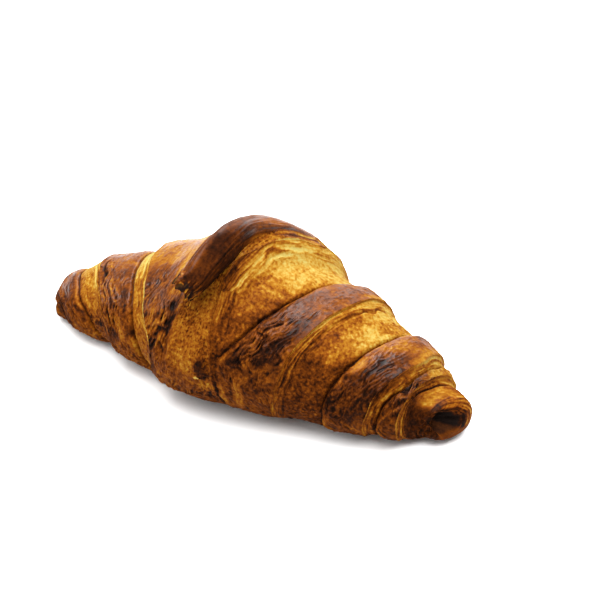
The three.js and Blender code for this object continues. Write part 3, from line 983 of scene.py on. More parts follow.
@dataclass
class Crust:
    """What the oven made of each place of the body, in steps that each mend what the step before left. Some steps paint
    light and shade into the colour as well: a paler top, a darker front, dark creases, folds and cleft, a black hollow.

    Attributes:
        ground: the body's points.
        crease_shade_brown: browning of the dark line painted in a crease as shade. The next fields are the browning of
            other places; fold_shade_brown and cleft_shade_brown are shade painted in the fold of the layers and in the
            cleft by the tongue.
        margins: width of the paler margin along an edge, on the right and on the left half.
        margin_paler: how much paler it is on either half.
        tear_height: height of torn ridges.
        wash_from: how far up the wraps the egg wash starts, on the right and on the left half.
        height: fine relief over the wraps' own shape.
        overhang: how far the lip of an edge is pushed out over the layers under it.
        browning: 0 for pale dough, 1 for the darkest brown.
        shine: 1 where the egg wash lies.
        scorch: 1 where it is burnt black, and in the right end's hollow, which is painted black as shade.
        grainy: 1 where the crust is a fine crumb, 0 where it is smooth skin.
        margin: 1 at an edge, 0 beyond the margin.
        peeled: 1 on the strip that the tongue was peeled from.
        torn: how torn the skin is.
        burnt: how burnt it is.
    """

    ground: Ground
    crease_shade_brown: float = 0.96
    fold_shade_brown: float = 0.84
    cleft_shade_brown: float = 0.78
    lip_wall_brown: float = 0.47
    palest_cut: float = 0.22
    peeled_brown: float = 0.49
    ridge_brown: float = 0.56
    border_brown: float = 0.46
    corner_brown: float = 0.90
    hood_brown: float = 0.44
    cover_brown: float = 0.86
    underside_brown: float = 0.66
    margins: tuple[float, float] = (4.0, 2.6)
    margin_paler: tuple[float, float] = (0.18, 0.12)
    tear_height: float = 0.80
    wash_from: tuple[float, float] = (0.62, 0.42)
    height: np.ndarray = field(init=False)
    overhang: np.ndarray = field(init=False)
    browning: np.ndarray = field(init=False)
    shine: np.ndarray = field(init=False)
    scorch: np.ndarray = field(init=False)
    grainy: np.ndarray = field(init=False)
    margin: np.ndarray = field(init=False)
    peeled: np.ndarray = field(init=False)
    torn: np.ndarray = field(init=False)
    burnt: np.ndarray = field(init=False)

    def __post_init__(self) -> None:
        """Bakes the body step by step."""
        self._bake_wraps()
        self._peel_strip()
        self._bake_places()
        pale_spot = self._burn_corner()
        self._tear_skin()
        self._tint(0.0, pale_spot)
        self.scorch = self.scorch * (1 - pale_spot)
        self._draw_creases()
        self._close_ends()
        self._wash_with_egg()

    def _tint(self, browning: np.ndarray | float, share: np.ndarray) -> None:
        """Moves the browning towards another where the share is high."""
        self.browning = mix(self.browning, browning, share)

    def _bake_wraps(self) -> None:
        """Gives the treads, the grainy parts of the risers and the cut layers their first browning and relief.

        Each is its base round the roll, plus noise: streaks and blotches on a tread, bubbles and specks on a flat
        riser, lines on cut layers. The bases paint a paler top and a darker front as light and shade.
        Treads are paler along their edges. Layers are painted darker as shade in the folds between them and in the
        cleft by the tongue, and flat risers next to a crease.
        """
        g, at = self.ground, self.ground.at
        outer_wrap = (at.turn > 0) * smooth(at.width / 6)
        # Painted light and shade from the base curve: a paler top and a darker front, over the oven's browning.
        tread = TREAD_BROWNING_AND_SHADE(g.angle) + 0.06 * g.streak + 0.09 * g.blotch + 0.07 * g.mottle + 0.05 * g.grain
        tread -= 0.15 * hump(at.inner - 1.1, 0.7) * outer_wrap
        tread -= 0.05 * (g.u < 0) * g.low
        margin = smooth(1 - at.outer / np.where(g.right, *self.margins)) * smooth(at.width / 6)
        self.margin = margin * g.tread * rise(g.angle, 5, 30)
        tread -= (np.where(g.right, *self.margin_paler) + 0.12 * g.streak) * self.margin

        # The same for the layered sides: the base curve paints a paler top and a darker front.
        base = RISER_BROWNING_AND_SHADE(g.angle)
        speck = smooth((0.7 * g.bubble + 0.9 * g.grain - 0.15) / 0.6)
        flat = base - 0.04 + (0.06 + 0.10 * g.low) * g.grain + (0.13 + 0.19 * g.low) * g.bubble + 0.12 * g.patch
        # The hump at the crease paints shade: a flat riser darkens next to its crease.
        flat += (0.02 + 0.10 * g.low) * speck + 0.20 * hump(at.outer, 0.9)
        flat += 0.12 * smooth(1 - at.outer / 4.5) * g.first * g.right

        cut = 0.15 + 0.52 * base + 0.26 * g.lines + 0.08 * g.grain + 0.05 * g.patch
        cut += (0.20 + 0.05 * g.mottle) * g.on_saddle * fall(g.off_tongue, 6, 5)
        # Painted shade: the fold between the cut layers and the flat riser is made darker, and cut as a groove below.
        fold = hump(at.inner - 4.0 - 0.8 * g.blotch, 0.5) * at.riser * g.right * (at.turn > 0) * smooth(at.width / 9)
        cut = mix(cut, self.fold_shade_brown, 0.8 * fold)
        cut = np.maximum(cut, self.palest_cut + 0.1 * (cut - self.palest_cut))
        cut = mix(cut, self.lip_wall_brown + 0.1 * g.streak, 0.85 * hump(at.inner, 0.9) * (at.turn > 0))
        # Painted shade: a dark cleft where the tongue meets the saddle, also cut as a groove below.
        cleft = hump(g.off_tongue - 5.4 - 0.7 * g.blotch - 1.2 * smooth((80 - g.angle) / 20), 0.55) * g.on_saddle
        cut = mix(cut, self.cleft_shade_brown, 0.85 * cleft)

        self.browning = np.where(g.layered, mix(flat, cut, g.cut), tread)
        rough = self._rough_flank()
        self.height = 0.5 * g.lump + g.tread * (0.07 * g.streak + (0.10 + 0.14 * rough) * g.blotch + 0.06 * g.mottle)
        self.height += np.where(g.layered, 0.30 * g.cut * g.lines, 0.0) - 0.5 * cleft - 0.4 * fold
        self.height += (1 - g.tread) * (1 - g.cut) * (0.07 * g.grain + (0.14 + 0.16 * g.low) * g.bubble)

    def _rough_flank(self) -> np.ndarray:
        """1 on the flanks, 0 on top and on the underside."""
        return smooth((0.9 - self.ground.up) / 0.6) * (1 - self.ground.under)

    def _peel_strip(self) -> None:
        """Makes the strip that the tongue was peeled from: porous, with a raised border on both sides."""
        g = self.ground
        edge = g.roll.wraps.edge[Side.RIGHT](g.angle)
        peeled = rise(g.u, -3.4, 0.8) * (1 - smooth((g.u - edge + 0.5) / 0.8)) * g.middle
        self.peeled = peeled * fall(g.angle, 95, 10) * rise(g.angle, -12, 10)
        pores = smooth((Roughness(41).layered(g.u / 0.7, g.arc / 0.85, 2) + 0.4 * g.patch - 0.30) / 0.35)
        spots = 0.07 * g.bubble + 0.08 * g.grain + 0.04 * g.patch + 0.22 * pores
        self._tint(self.peeled_brown + spots, self.peeled)
        self.height += self.peeled * (0.06 * g.grain + 0.12 * g.bubble - 0.28 * pores)
        ridge = hump(g.u - edge - 0.2, 0.6) * rise(g.angle, -20, 20) * fall(g.angle, 60, 10) * g.right
        self.height += 0.5 * ridge
        self._tint(self.ridge_brown, 0.6 * ridge)
        border = hump(g.u + 3.4, 0.9) * rise(g.angle, -10, 10) * fall(g.angle, 62, 10)
        self._tint(self.border_brown, 0.8 * border)
        self.height += 0.25 * border

    def _bake_places(self) -> None:
        """Goes over the places that the oven treated on their own."""
        g = self.ground
        detail = 0.09 * g.blotch + 0.07 * g.mottle + 0.08 * g.grain + 0.22 * g.cut * g.lines
        self.torn = np.zeros(g.u.shape)
        self.burnt = np.zeros(g.u.shape)
        for bake in LEFT_BAKES + RIGHT_BAKES:
            reach = g.reach(bake)
            self._tint(bake.browning + detail, np.clip(1.25 * reach, 0, 1))
            self.torn = np.maximum(self.torn, bake.torn * reach)
            self.burnt = np.maximum(self.burnt, bake.burnt * reach)

    def _burn_corner(self) -> np.ndarray:
        """Burns the lump at the foot of the front.

        Returns:
            1 on a pale spot beside it.
        """
        g = self.ground
        corner = np.exp(-(((g.u - 10.6) / 2.4) ** 2) - (np.radians(g.angle - 1) * g.taper / 4.2) ** 2)
        corner = smooth(1.5 * corner * (1 + 0.7 * g.mottle + 0.5 * g.blotch))
        self.burnt = np.maximum(self.burnt, 0.95 * corner)
        self._tint(self.corner_brown, 0.85 * corner)
        self.height += 0.7 * corner
        off = (g.u - 8.4 - 0.3 * g.mottle) / 0.9
        return smooth(2 * np.exp(-(off**2) - (np.radians(g.angle + 7) * g.taper / 0.55) ** 2))

    def _tear_skin(self) -> None:
        """Tears the skin of the flanks in patches: pale raised ridges over dark hollows, with black cracks."""
        g = self.ground
        flanks = g.tread * smooth((1.0 - g.up) / 0.5) * (1 - g.under) * (0.42 + 0.4 * g.patch) * (1 - self.peeled)
        self.torn = np.clip(np.maximum(self.torn, flanks), 0, 1)
        self._tint(self.browning + 0.17 - 0.46 * g.ridges, 0.9 * self.torn)
        cracks = rise(-g.ridges, 0.05, 0.35)
        deep = rise(-g.ridges, 0.25, 0.3)
        self.height += self.tear_height * self.torn * (g.ridges - 0.1) - 0.3 * self.burnt * cracks
        self.scorch = np.clip(self.burnt * (0.25 + 1.1 * cracks) + 0.75 * self.torn * deep, 0, 1)

    def _draw_creases(self) -> None:
        """Draws a dark line of painted shade in each crease, and pushes the lip of each edge out over its layers."""
        g, at = self.ground, self.ground.at
        from_crease = at.from_crease()
        left_first = (g.u < 0) & (g.first & at.riser | (at.turn == 1) & ~at.riser)
        drawn = np.where(left_first & (from_crease < 2), 0.3, 0.9)
        low_end = g.first | g.right & (at.turn == 1) & ~at.riser
        drawn = drawn * np.where(low_end, smooth((g.angle - 12 + 30 * (g.u < 0)) / 10), 1.0)
        # Painted shade: a dark line along each crease.
        self._tint(self.crease_shade_brown, hump(from_crease, 0.32) * smooth(at.width / 4) * drawn)
        lip = np.where(at.riser, 1 - smooth(at.inner / 0.7), smooth(1 - at.outer / 1.4)) * smooth(at.width / 3)
        lip = lip * np.where(g.middle & (g.u >= 0), rise(g.angle, 110, 30), 1.0)
        self.overhang = 0.5 * lip * (1 - g.under) * (1 - smooth(g.depth / 0.2))

    def _close_ends(self) -> None:
        """Bakes the right end's hood, cover and leafy rim, paints its hollow near black as shade, lighter where it
        faces the light, with the rim darkening towards it, then evens out the underside.
        """
        g = self.ground
        hood = rise(g.u, 86, 2) * rise(g.up, 0.45, 0.3)
        self._tint(self.hood_brown + 0.16 * g.blotch + 0.12 * g.mottle, 0.8 * hood)
        cover = rise(g.u, 82.5, 2) * smooth((g.facing(-4) - 0.45) / 0.3)
        self._tint(self.cover_brown + 0.07 * g.blotch + 0.05 * g.mottle, 0.9 * cover)
        # Painted shade: the hollow is coloured near black, lightened a little where it faces the light.
        hollow_shade = rise(g.depth, 0.62, 0.14)
        rim = smooth(g.depth / 0.05) * (1 - hollow_shade) * g.right
        leaves = Roughness(39)(g.depth * 16 + 0.5 * g.blotch, g.arc / 7) + 0.5 * Roughness(40)(g.depth * 34, g.arc / 4)
        flap = smooth((g.facing(10) - 0.1) / 0.5)
        # The depth term darkens the rim towards the hollow: painted shade.
        rim_brown = mix(0.54 + 0.30 * leaves, 0.86 + 0.05 * leaves, flap) + 0.40 * rise(g.depth, 0.42, 0.16)
        self._tint(rim_brown + 0.08 * g.grain, rim)
        self.height += 0.3 * leaves * rim * (1 - 0.7 * flap)
        # Painted light: the side of the hollow that faces the front is painted a little lighter.
        lit = smooth((g.facing(15) + 0.1) / 0.6)
        self._tint(1.0 - 0.16 * lit, hollow_shade)
        self.scorch = np.maximum(self.scorch, 0.85 * hollow_shade * (1 - 0.8 * lit))
        self._tint(self.underside_brown + 0.07 * g.bubble, g.under)
        self.height *= 1 - 0.8 * g.under

    def _wash_with_egg(self) -> None:
        """Lays the egg wash on the treads that face up, washed thin in places, with glints on torn ridges."""
        g = self.ground
        washed = smooth(0.55 + 0.9 * g.blotch + 0.5 * g.mottle)
        inwards = fall(g.u, 80, 5)
        wash_from = np.where(g.u < 0, self.wash_from[1], self.wash_from[0])
        shine = mix(np.where(g.at.riser, 0.04, 1.0), 0.04, self.peeled)
        shine = shine * (1 - 0.75 * self.torn * smooth(0.6 - g.ridges)) * (0.02 + 0.98 * rise(g.up, wash_from, 0.32))
        shine = shine * (1 - smooth(g.depth / 0.4)) * (0.22 + 0.3 * washed)
        shine = shine * (0.15 + 0.85 * inwards) * (1 - 0.5 * self.margin * g.right)
        glints = 0.20 * self.torn * rise(g.ridges, 0.35, 0.3) * rise(g.up, 0.25, 0.45) * (1 - g.under)
        self.shine = np.clip(np.maximum(shine, glints * inwards) * (1 - 0.7 * self.scorch), 0, 1)
        crumb = np.where(g.layered, 1.0 - 0.35 * g.cut, 0.25 + 0.35 * self._rough_flank())
        self.grainy = np.clip(crumb + self.peeled, 0, 1)

    def values(self) -> dict[str, np.ndarray]:
        """The attributes that the finish reads.

        Returns:
            Attribute name to an array over the grid.
        """
        g = self.ground
        return {
            "browning": np.clip(self.browning, 0, MOST_BROWN),
            "shine": self.shine,
            "layers": g.cut,
            "scorch": self.scorch,
            "grainy": self.grainy,
            "wrap_place": np.stack([g.across, g.arc, g.tag * 7.3], -1),
        }


@dataclass
class Tongue:
    """The narrow end of the dough: a thick strip that grows out of the saddle, crosses the top and ends free.

    Attributes:
        roll: the body's shape.
        angles: turn angles along the strip, from its root to its free end. The next four go with them.
        along: distances along the roll.
        lift: heights of the centre line over the body's taper.
        half_width: half the section's width.
        half_thickness: half its thickness.
        rows: sections along the strip.
        points: points round a section.
        end_rings: rings that close the hollow end.
        frayed: length of the ragged part at the free end.
        girth_scale: distance round the section for each radian.
        place_tag: what sets the strip's own layer lines apart from the body's.
    """

    roll: Roll
    angles: tuple[float, ...] = (150, 121, 107, 100, 93, 85, 71, 62, 53, 46.5)
    along: tuple[float, ...] = (21, 16.4, 13.0, 10.7, 8.6, 7.0, 5.8, 4.8, 3.6, 1.2)
    lift: tuple[float, ...] = (-2.0, 1.6, 3.6, 4.6, 5.6, 6.8, 8.2, 8.9, 9.5, 9.9)
    half_width: tuple[float, ...] = (4.4, 4.2, 4.2, 4.2, 4.5, 5.1, 5.7, 5.6, 5.1, 4.5)
    half_thickness: tuple[float, ...] = (2.8, 3.1, 3.6, 4.0, 4.4, 4.9, 5.1, 4.7, 4.2, 3.3)
    rows: int = 380
    points: int = 200
    end_rings: int = 40
    frayed: float = 9.0
    girth_scale: float = 5.0
    place_tag: float = 900.0

    def _over(self, values: tuple[float, ...], t: np.ndarray) -> np.ndarray:
        """A sequence of values as a smooth curve over 0 to 1."""
        return Curve(tuple(zip(np.linspace(0, 1, len(values)), values)))(t)

    def centre(self, t: np.ndarray) -> np.ndarray:
        """The strip's centre line: a lift over the body's taper, along a path round it."""
        u = self._over(self.along, t)
        return self.roll.point(u, self._over(self.angles, t), self.roll.taper(u) + self._over(self.lift, t), u)

    def _axes(self, t: np.ndarray) -> tuple[np.ndarray, np.ndarray, np.ndarray]:
        """The section's three directions: ahead along the centre line, up away from the body, and across both.

        Args:
            t: places along the strip, from 0 to 1.

        Returns:
            The three directions at each place.
        """
        ahead = self.centre(np.minimum(t + 0.01, 1)) - self.centre(np.maximum(t - 0.01, 0))
        ahead /= np.linalg.norm(ahead, axis=1, keepdims=True)
        a = np.radians(self._over(self.angles, t))
        up = np.stack([np.zeros_like(a), -np.cos(a), np.sin(a)], -1)
        up -= (up * ahead).sum(1, keepdims=True) * ahead
        up /= np.linalg.norm(up, axis=1, keepdims=True)
        return ahead, up, np.cross(ahead, up)

    def build(self) -> list[bpy.types.Object]:
        """Builds the strip: a rounded section carried along the centre line, with a ragged hollow end.

        The section's width and thickness go as powers of the cosine and sine, swollen by noise. Past the last row the
        section shrinks and steps back into the hollow.

        Returns:
            The tongue, as the only piece of a list.
        """
        t = np.linspace(0, 1, self.rows)
        ahead, up, across = self._axes(t)
        centre = self.centre(t)
        rows = np.concatenate([np.arange(self.rows), np.full(self.end_rings, self.rows - 1)])
        inward = np.concatenate([np.zeros(self.rows), np.linspace(0, 1, self.end_rings + 1)[1:]])[:, None]
        b = np.linspace(0, 2 * np.pi, self.points, endpoint=False)[None, :]
        size = np.where(inward > 0, 1 - 0.92 * smooth(inward), 1.0)
        wide = np.sign(np.cos(b)) * np.abs(np.cos(b)) ** 0.7 * self._over(self.half_width, t)[rows][:, None]
        thick = np.sign(np.sin(b)) * np.abs(np.sin(b)) ** 0.8 * self._over(self.half_thickness, t)[rows][:, None]
        steps = np.linalg.norm(np.diff(centre, axis=0), axis=1)
        length = np.concatenate([[0], np.cumsum(steps)])[rows][:, None]
        girth = b * self.girth_scale + 0 * length
        streak = Roughness(51)(girth / 1.6, length / 9) + 0.5 * Roughness(52)(girth / 0.8, length / 5)
        strand = Roughness(66)(girth / 1.2, length / 15) + 0.6 * Roughness(67)(girth / 0.6, length / 8)
        lump = Roughness(53).layered(girth / 6, length / 7, 2)
        from_end = length - length[-1]
        near_end = smooth((from_end + self.frayed) / self.frayed)
        fluff = Roughness(55).layered(girth / 2.5, length / 2.5, 3)
        swell = 1 + 0.03 * strand + 0.03 * streak + 0.05 * lump + 0.12 * near_end * fluff
        tatters = 1.1 * Roughness(54).layered(girth / 2.2, 3.0, 3) * near_end
        into = (tatters + 0.6 * near_end) * (1 - smooth(inward * 1.6)) - 1.6 * smooth(inward * 1.2)
        out = np.where(inward > 0, into, tatters * rise(from_end, -2, 2) + 0.6 * near_end)
        points = centre[rows][:, None] + across[rows][:, None] * (wide * size * swell)[..., None]
        points = points + up[rows][:, None] * (thick * size * swell)[..., None] + ahead[rows][:, None] * out[..., None]
        right = 1.0 if across[len(t) // 2][0] > 0 else -1.0
        top, side = np.sin(b) + 0 * length, np.cos(b) * right + 0 * length
        values = self._values(top, side, length, girth, strand, lump, inward)
        return Skin(points, (points[0].mean(0), points[-1].mean(0)), values).to_objects(("tongue",))

    def _values(self, top: np.ndarray, side: np.ndarray, length: np.ndarray, girth: np.ndarray, strand: np.ndarray,
                lump: np.ndarray, inward: np.ndarray) -> dict[str, np.ndarray]:
        """Bakes the strip: brown on top, rusty along its left, dark low on its far right, cut layers near its root.
        Light
        and shade are painted in: a paler top, a paler root as a painted highlight, a darker underside that is also
        burnt, and a black hollow at the free end.

        Args:
            top: 1 on the upper side, -1 on the lower.
            side: 1 on the right, where the cut layers show near the root, -1 on the left.
            length: distance from the root.
            girth: distance round the section.
            strand: streaks along the strip.
            lump: coarse noise.
            inward: how far into the end's hollow.

        Returns:
            The attributes that the finish reads.
        """
        whole = length[-1]
        near_end = smooth((length - whole + self.frayed) / self.frayed)
        far = smooth((length - 0.45 * whole) / (0.3 * whole))
        root = (1 - smooth((length - 0.42 * whole) / (0.2 * whole))) * rise(top, 0.1, 0.4)
        cut = rise(side, 0.2, 0.5) * fall(top, -0.1, 0.5) * (1 - smooth((length - 0.52 * whole) / 12))
        lines = Roughness(61)(girth / 0.9, length / 24)
        rusty = smooth((-side - 0.45 + 0.5 * lump + 0.3 * strand) / 0.4) * rise(top, -0.5, 0.3)
        mottle = Roughness(64).layered(girth / 1.2, length / 1.6, 2)
        # Painted light and shade: paler on top where the light falls, darker underneath, where the dough is also burnt.
        browning = 0.84 - 0.12 * rise(top, 0.3, 0.5) + 0.10 * smooth(-top / 0.6)
        browning = mix(browning, 0.52 - 0.10 * near_end + 0.14 * strand, 0.85 * rusty)
        browning = mix(browning, 0.96, (0.25 + 0.5 * far) * hump(side - 0.72, 0.25) * smooth((0.6 - top) / 0.4))
        # The root term is a painted highlight: the top near the root is made paler.
        browning = mix(browning, 0.90, 0.8 * far * smooth((side + 0.25 + 0.3 * lump) / 0.4)) - 0.16 * root
        browning = browning + 0.13 * strand * (1 - 0.6 * rise(top, 0.4, 0.4)) + 0.06 * lump + 0.06 * mottle
        browning = mix(browning, 0.40 + 0.26 * lines, cut)
        browning = mix(browning, 0.97, 0.5 * near_end * smooth(-top + 0.6))
        fray = smooth((Roughness(65).layered(girth / 1.2, length / 4.0, 2) - 0.05) / 0.3)
        browning = mix(browning, 0.36, fray * smooth((length - whole + 7) / 6))
        scorch = smooth((near_end + 0.5 * Roughness(62).layered(girth / 2.5, length / 2.5, 3) - 0.75) / 0.3)
        # Painted shade with the burnt end: the end's hollow is blackened deeper in.
        soot_and_shade = 0.5 + 0.5 * Roughness(63).layered(girth / 2, inward * 3, 2)
        matt = 0.9 * cut + 0.5 * near_end + 0.75 * far * rise(side, -0.3, 0.4) + 0.4 * far
        washed = (0.6 + 0.4 * smooth(0.35 + 1.1 * lump + 0.6 * strand)) * (0.7 + 0.3 * smooth(strand + 0.4))
        return {
            "browning": np.clip(browning, 0, MOST_BROWN),
            "shine": washed * np.clip(1.0 - matt, 0, 1) * rise(top, -0.1, 0.6),
            "layers": cut,
            "scorch": np.clip(np.maximum(scorch, smooth(inward * 3) * soot_and_shade), 0, 1),
            "grainy": np.clip(0.05 + 0.7 * near_end + 0.6 * rusty, 0, 1),
            "wrap_place": np.stack(np.broadcast_arrays(girth + 200, length, self.place_tag), -1),
        }


# ------------------------------------------------------------------------------------------------------------ finishes


@dataclass(frozen=True)
class Shade:
    """A colour at one level of browning."""

    browning: float
    red: float
    green: float
    blue: float


@dataclass
class NodeSketch:
    """Adds nodes to a node tree and joins them, which keeps the finishes short to read."""

    tree: bpy.types.NodeTree

    def add(self, kind: str, **settings: object) -> bpy.types.Node:
        """A new node with its settings.

        Args:
            kind: the node's type.
            **settings: its properties.

        Returns:
            The node.
        """
        node = self.tree.nodes.new(kind)
        for key, value in settings.items():
            setattr(node, key, value)
        return node

    def join(self, source: bpy.types.NodeSocket, target: bpy.types.NodeSocket) -> None:
        """Links two sockets."""
        self.tree.links.new(source, target)

    def math(self, operation: str, a: object, b: object) -> bpy.types.NodeSocket:
        """A sum, product or other operation on two numbers or sockets.

        Args:
            operation: what is done.
            a: first number or socket.
            b: second number or socket.

        Returns:
            The socket of the result.
        """
        node = self.add("ShaderNodeMath", operation=operation)
        for socket, value in zip(node.inputs, (a, b)):
            if isinstance(value, bpy.types.NodeSocket):
                self.join(value, socket)
            else:
                socket.default_value = value
        return node.outputs[0]

    def ramp(
        self, value: bpy.types.NodeSocket, low: float, high: float, to_low: float, to_high: float
    ) -> bpy.types.NodeSocket:
        """A number mapped from one range to another, held at both ends.

        Args:
            value: the number.
            low: start of its range.
            high: end of its range.
            to_low: what the start becomes.
            to_high: what the end becomes.

        Returns:
            The mapped number.
        """
        node = self.add("ShaderNodeMapRange", clamp=True)
        self.join(value, node.inputs["Value"])
        for name, number in (("From Min", low), ("From Max", high), ("To Min", to_low), ("To Max", to_high)):
            node.inputs[name].default_value = number
        return node.outputs["Result"]

    def noise(
        self, vector: bpy.types.NodeSocket, scale: float, detail: float, roughness: float = 0.5
    ) -> bpy.types.NodeSocket:
        """Noise over a place.

        Args:
            vector: the place.
            scale: how many features to a unit.
            detail: how many finer noises are added.
            roughness: how strong these are.

        Returns:
            The noise, about .5.
        """
        node = self.add("ShaderNodeTexNoise")
        self.join(vector, node.inputs["Vector"])
        node.inputs["Scale"].default_value = scale
        node.inputs["Detail"].default_value = detail
        node.inputs["Roughness"].default_value = roughness
        return node.outputs["Fac"]

    def attribute(self, name: str) -> bpy.types.Node:
        """An attribute of the mesh."""
        return self.add("ShaderNodeAttribute", attribute_name=name)


def new_group(name: str, inputs: dict[str, str], outputs: dict[str, str]) -> tuple[bpy.types.NodeTree, NodeSketch]:
    """A new node group with named sockets.

    Args:
        name: the group's name.
        inputs: socket name to socket type.
        outputs: socket name to socket type.

    Returns:
        The group and a sketch of it.
    """
    tree = bpy.data.node_groups.new(name, "ShaderNodeTree")
    for direction, sockets in (("INPUT", inputs), ("OUTPUT", outputs)):
        for socket, kind in sockets.items():
            tree.interface.new_socket(socket, in_out=direction, socket_type=kind)
    return tree, NodeSketch(tree)


def baked_colour_group(shades: tuple[Shade, ...]) -> bpy.types.NodeTree:
    """Turns browning into the colour of baked dough, from pale yellow to nearly black.

    Args:
        shades: the colours, from pale to dark.

    Returns:
        The group.
    """
    tree, sketch = new_group("baked dough colour", {"Browning": "NodeSocketFloat"}, {"Colour": "NodeSocketColor"})
    ramp = sketch.add("ShaderNodeValToRGB")
    ramp.color_ramp.interpolation = "LINEAR"
    stops = ramp.color_ramp.elements
    while len(stops) < len(shades):
        stops.new(0.5)
    for stop, shade in zip(stops, shades):
        stop.position = shade.browning
        stop.color = (shade.red, shade.green, shade.blue, 1.0)
    sketch.join(sketch.add("NodeGroupInput").outputs["Browning"], ramp.inputs["Fac"])
    sketch.join(ramp.outputs["Color"], sketch.add("NodeGroupOutput").inputs["Colour"])
    return tree


def layer_lines_group() -> bpy.types.NodeTree:
    """Fine wavy lines that run along the wrap: noise stretched along it, at two sizes.

    Returns:
        The group.
    """
    tree, sketch = new_group("lines of the layers", {"Place": "NodeSocketVector"}, {"Lines": "NodeSocketFloat"})
    place = sketch.add("NodeGroupInput").outputs["Place"]
    sizes = []
    for across, along in ((1.1, 0.05), (2.3, 0.10)):
        stretch = sketch.add("ShaderNodeVectorMath", operation="MULTIPLY")
        sketch.join(place, stretch.inputs[0])
        stretch.inputs[1].default_value = (across, along, 1.0)
        sizes.append(sketch.noise(stretch.outputs[0], 1.0, 1.0))
    lines = sketch.math("SUBTRACT", sketch.math("ADD", *sizes), 1.0)
    sketch.join(lines, sketch.add("NodeGroupOutput").inputs["Lines"])
    return tree


def crumb_grain_group() -> bpy.types.NodeTree:
    """Fine grain of the crust, about 0, and small specks: the peaks of a finer noise.

    Returns:
        The group.
    """
    outputs = {"Grain": "NodeSocketFloat", "Specks": "NodeSocketFloat"}
    tree, sketch = new_group("grain of the crust", {"Place": "NodeSocketVector"}, outputs)
    place = sketch.add("NodeGroupInput").outputs["Place"]
    out = sketch.add("NodeGroupOutput")
    sketch.join(sketch.math("SUBTRACT", sketch.noise(place, 850.0, 3.0, 0.6), 0.5), out.inputs["Grain"])
    sketch.join(sketch.ramp(sketch.noise(place, 1500.0, 1.0), 0.62, 0.75, 0.0, 1.0), out.inputs["Specks"])
    return tree


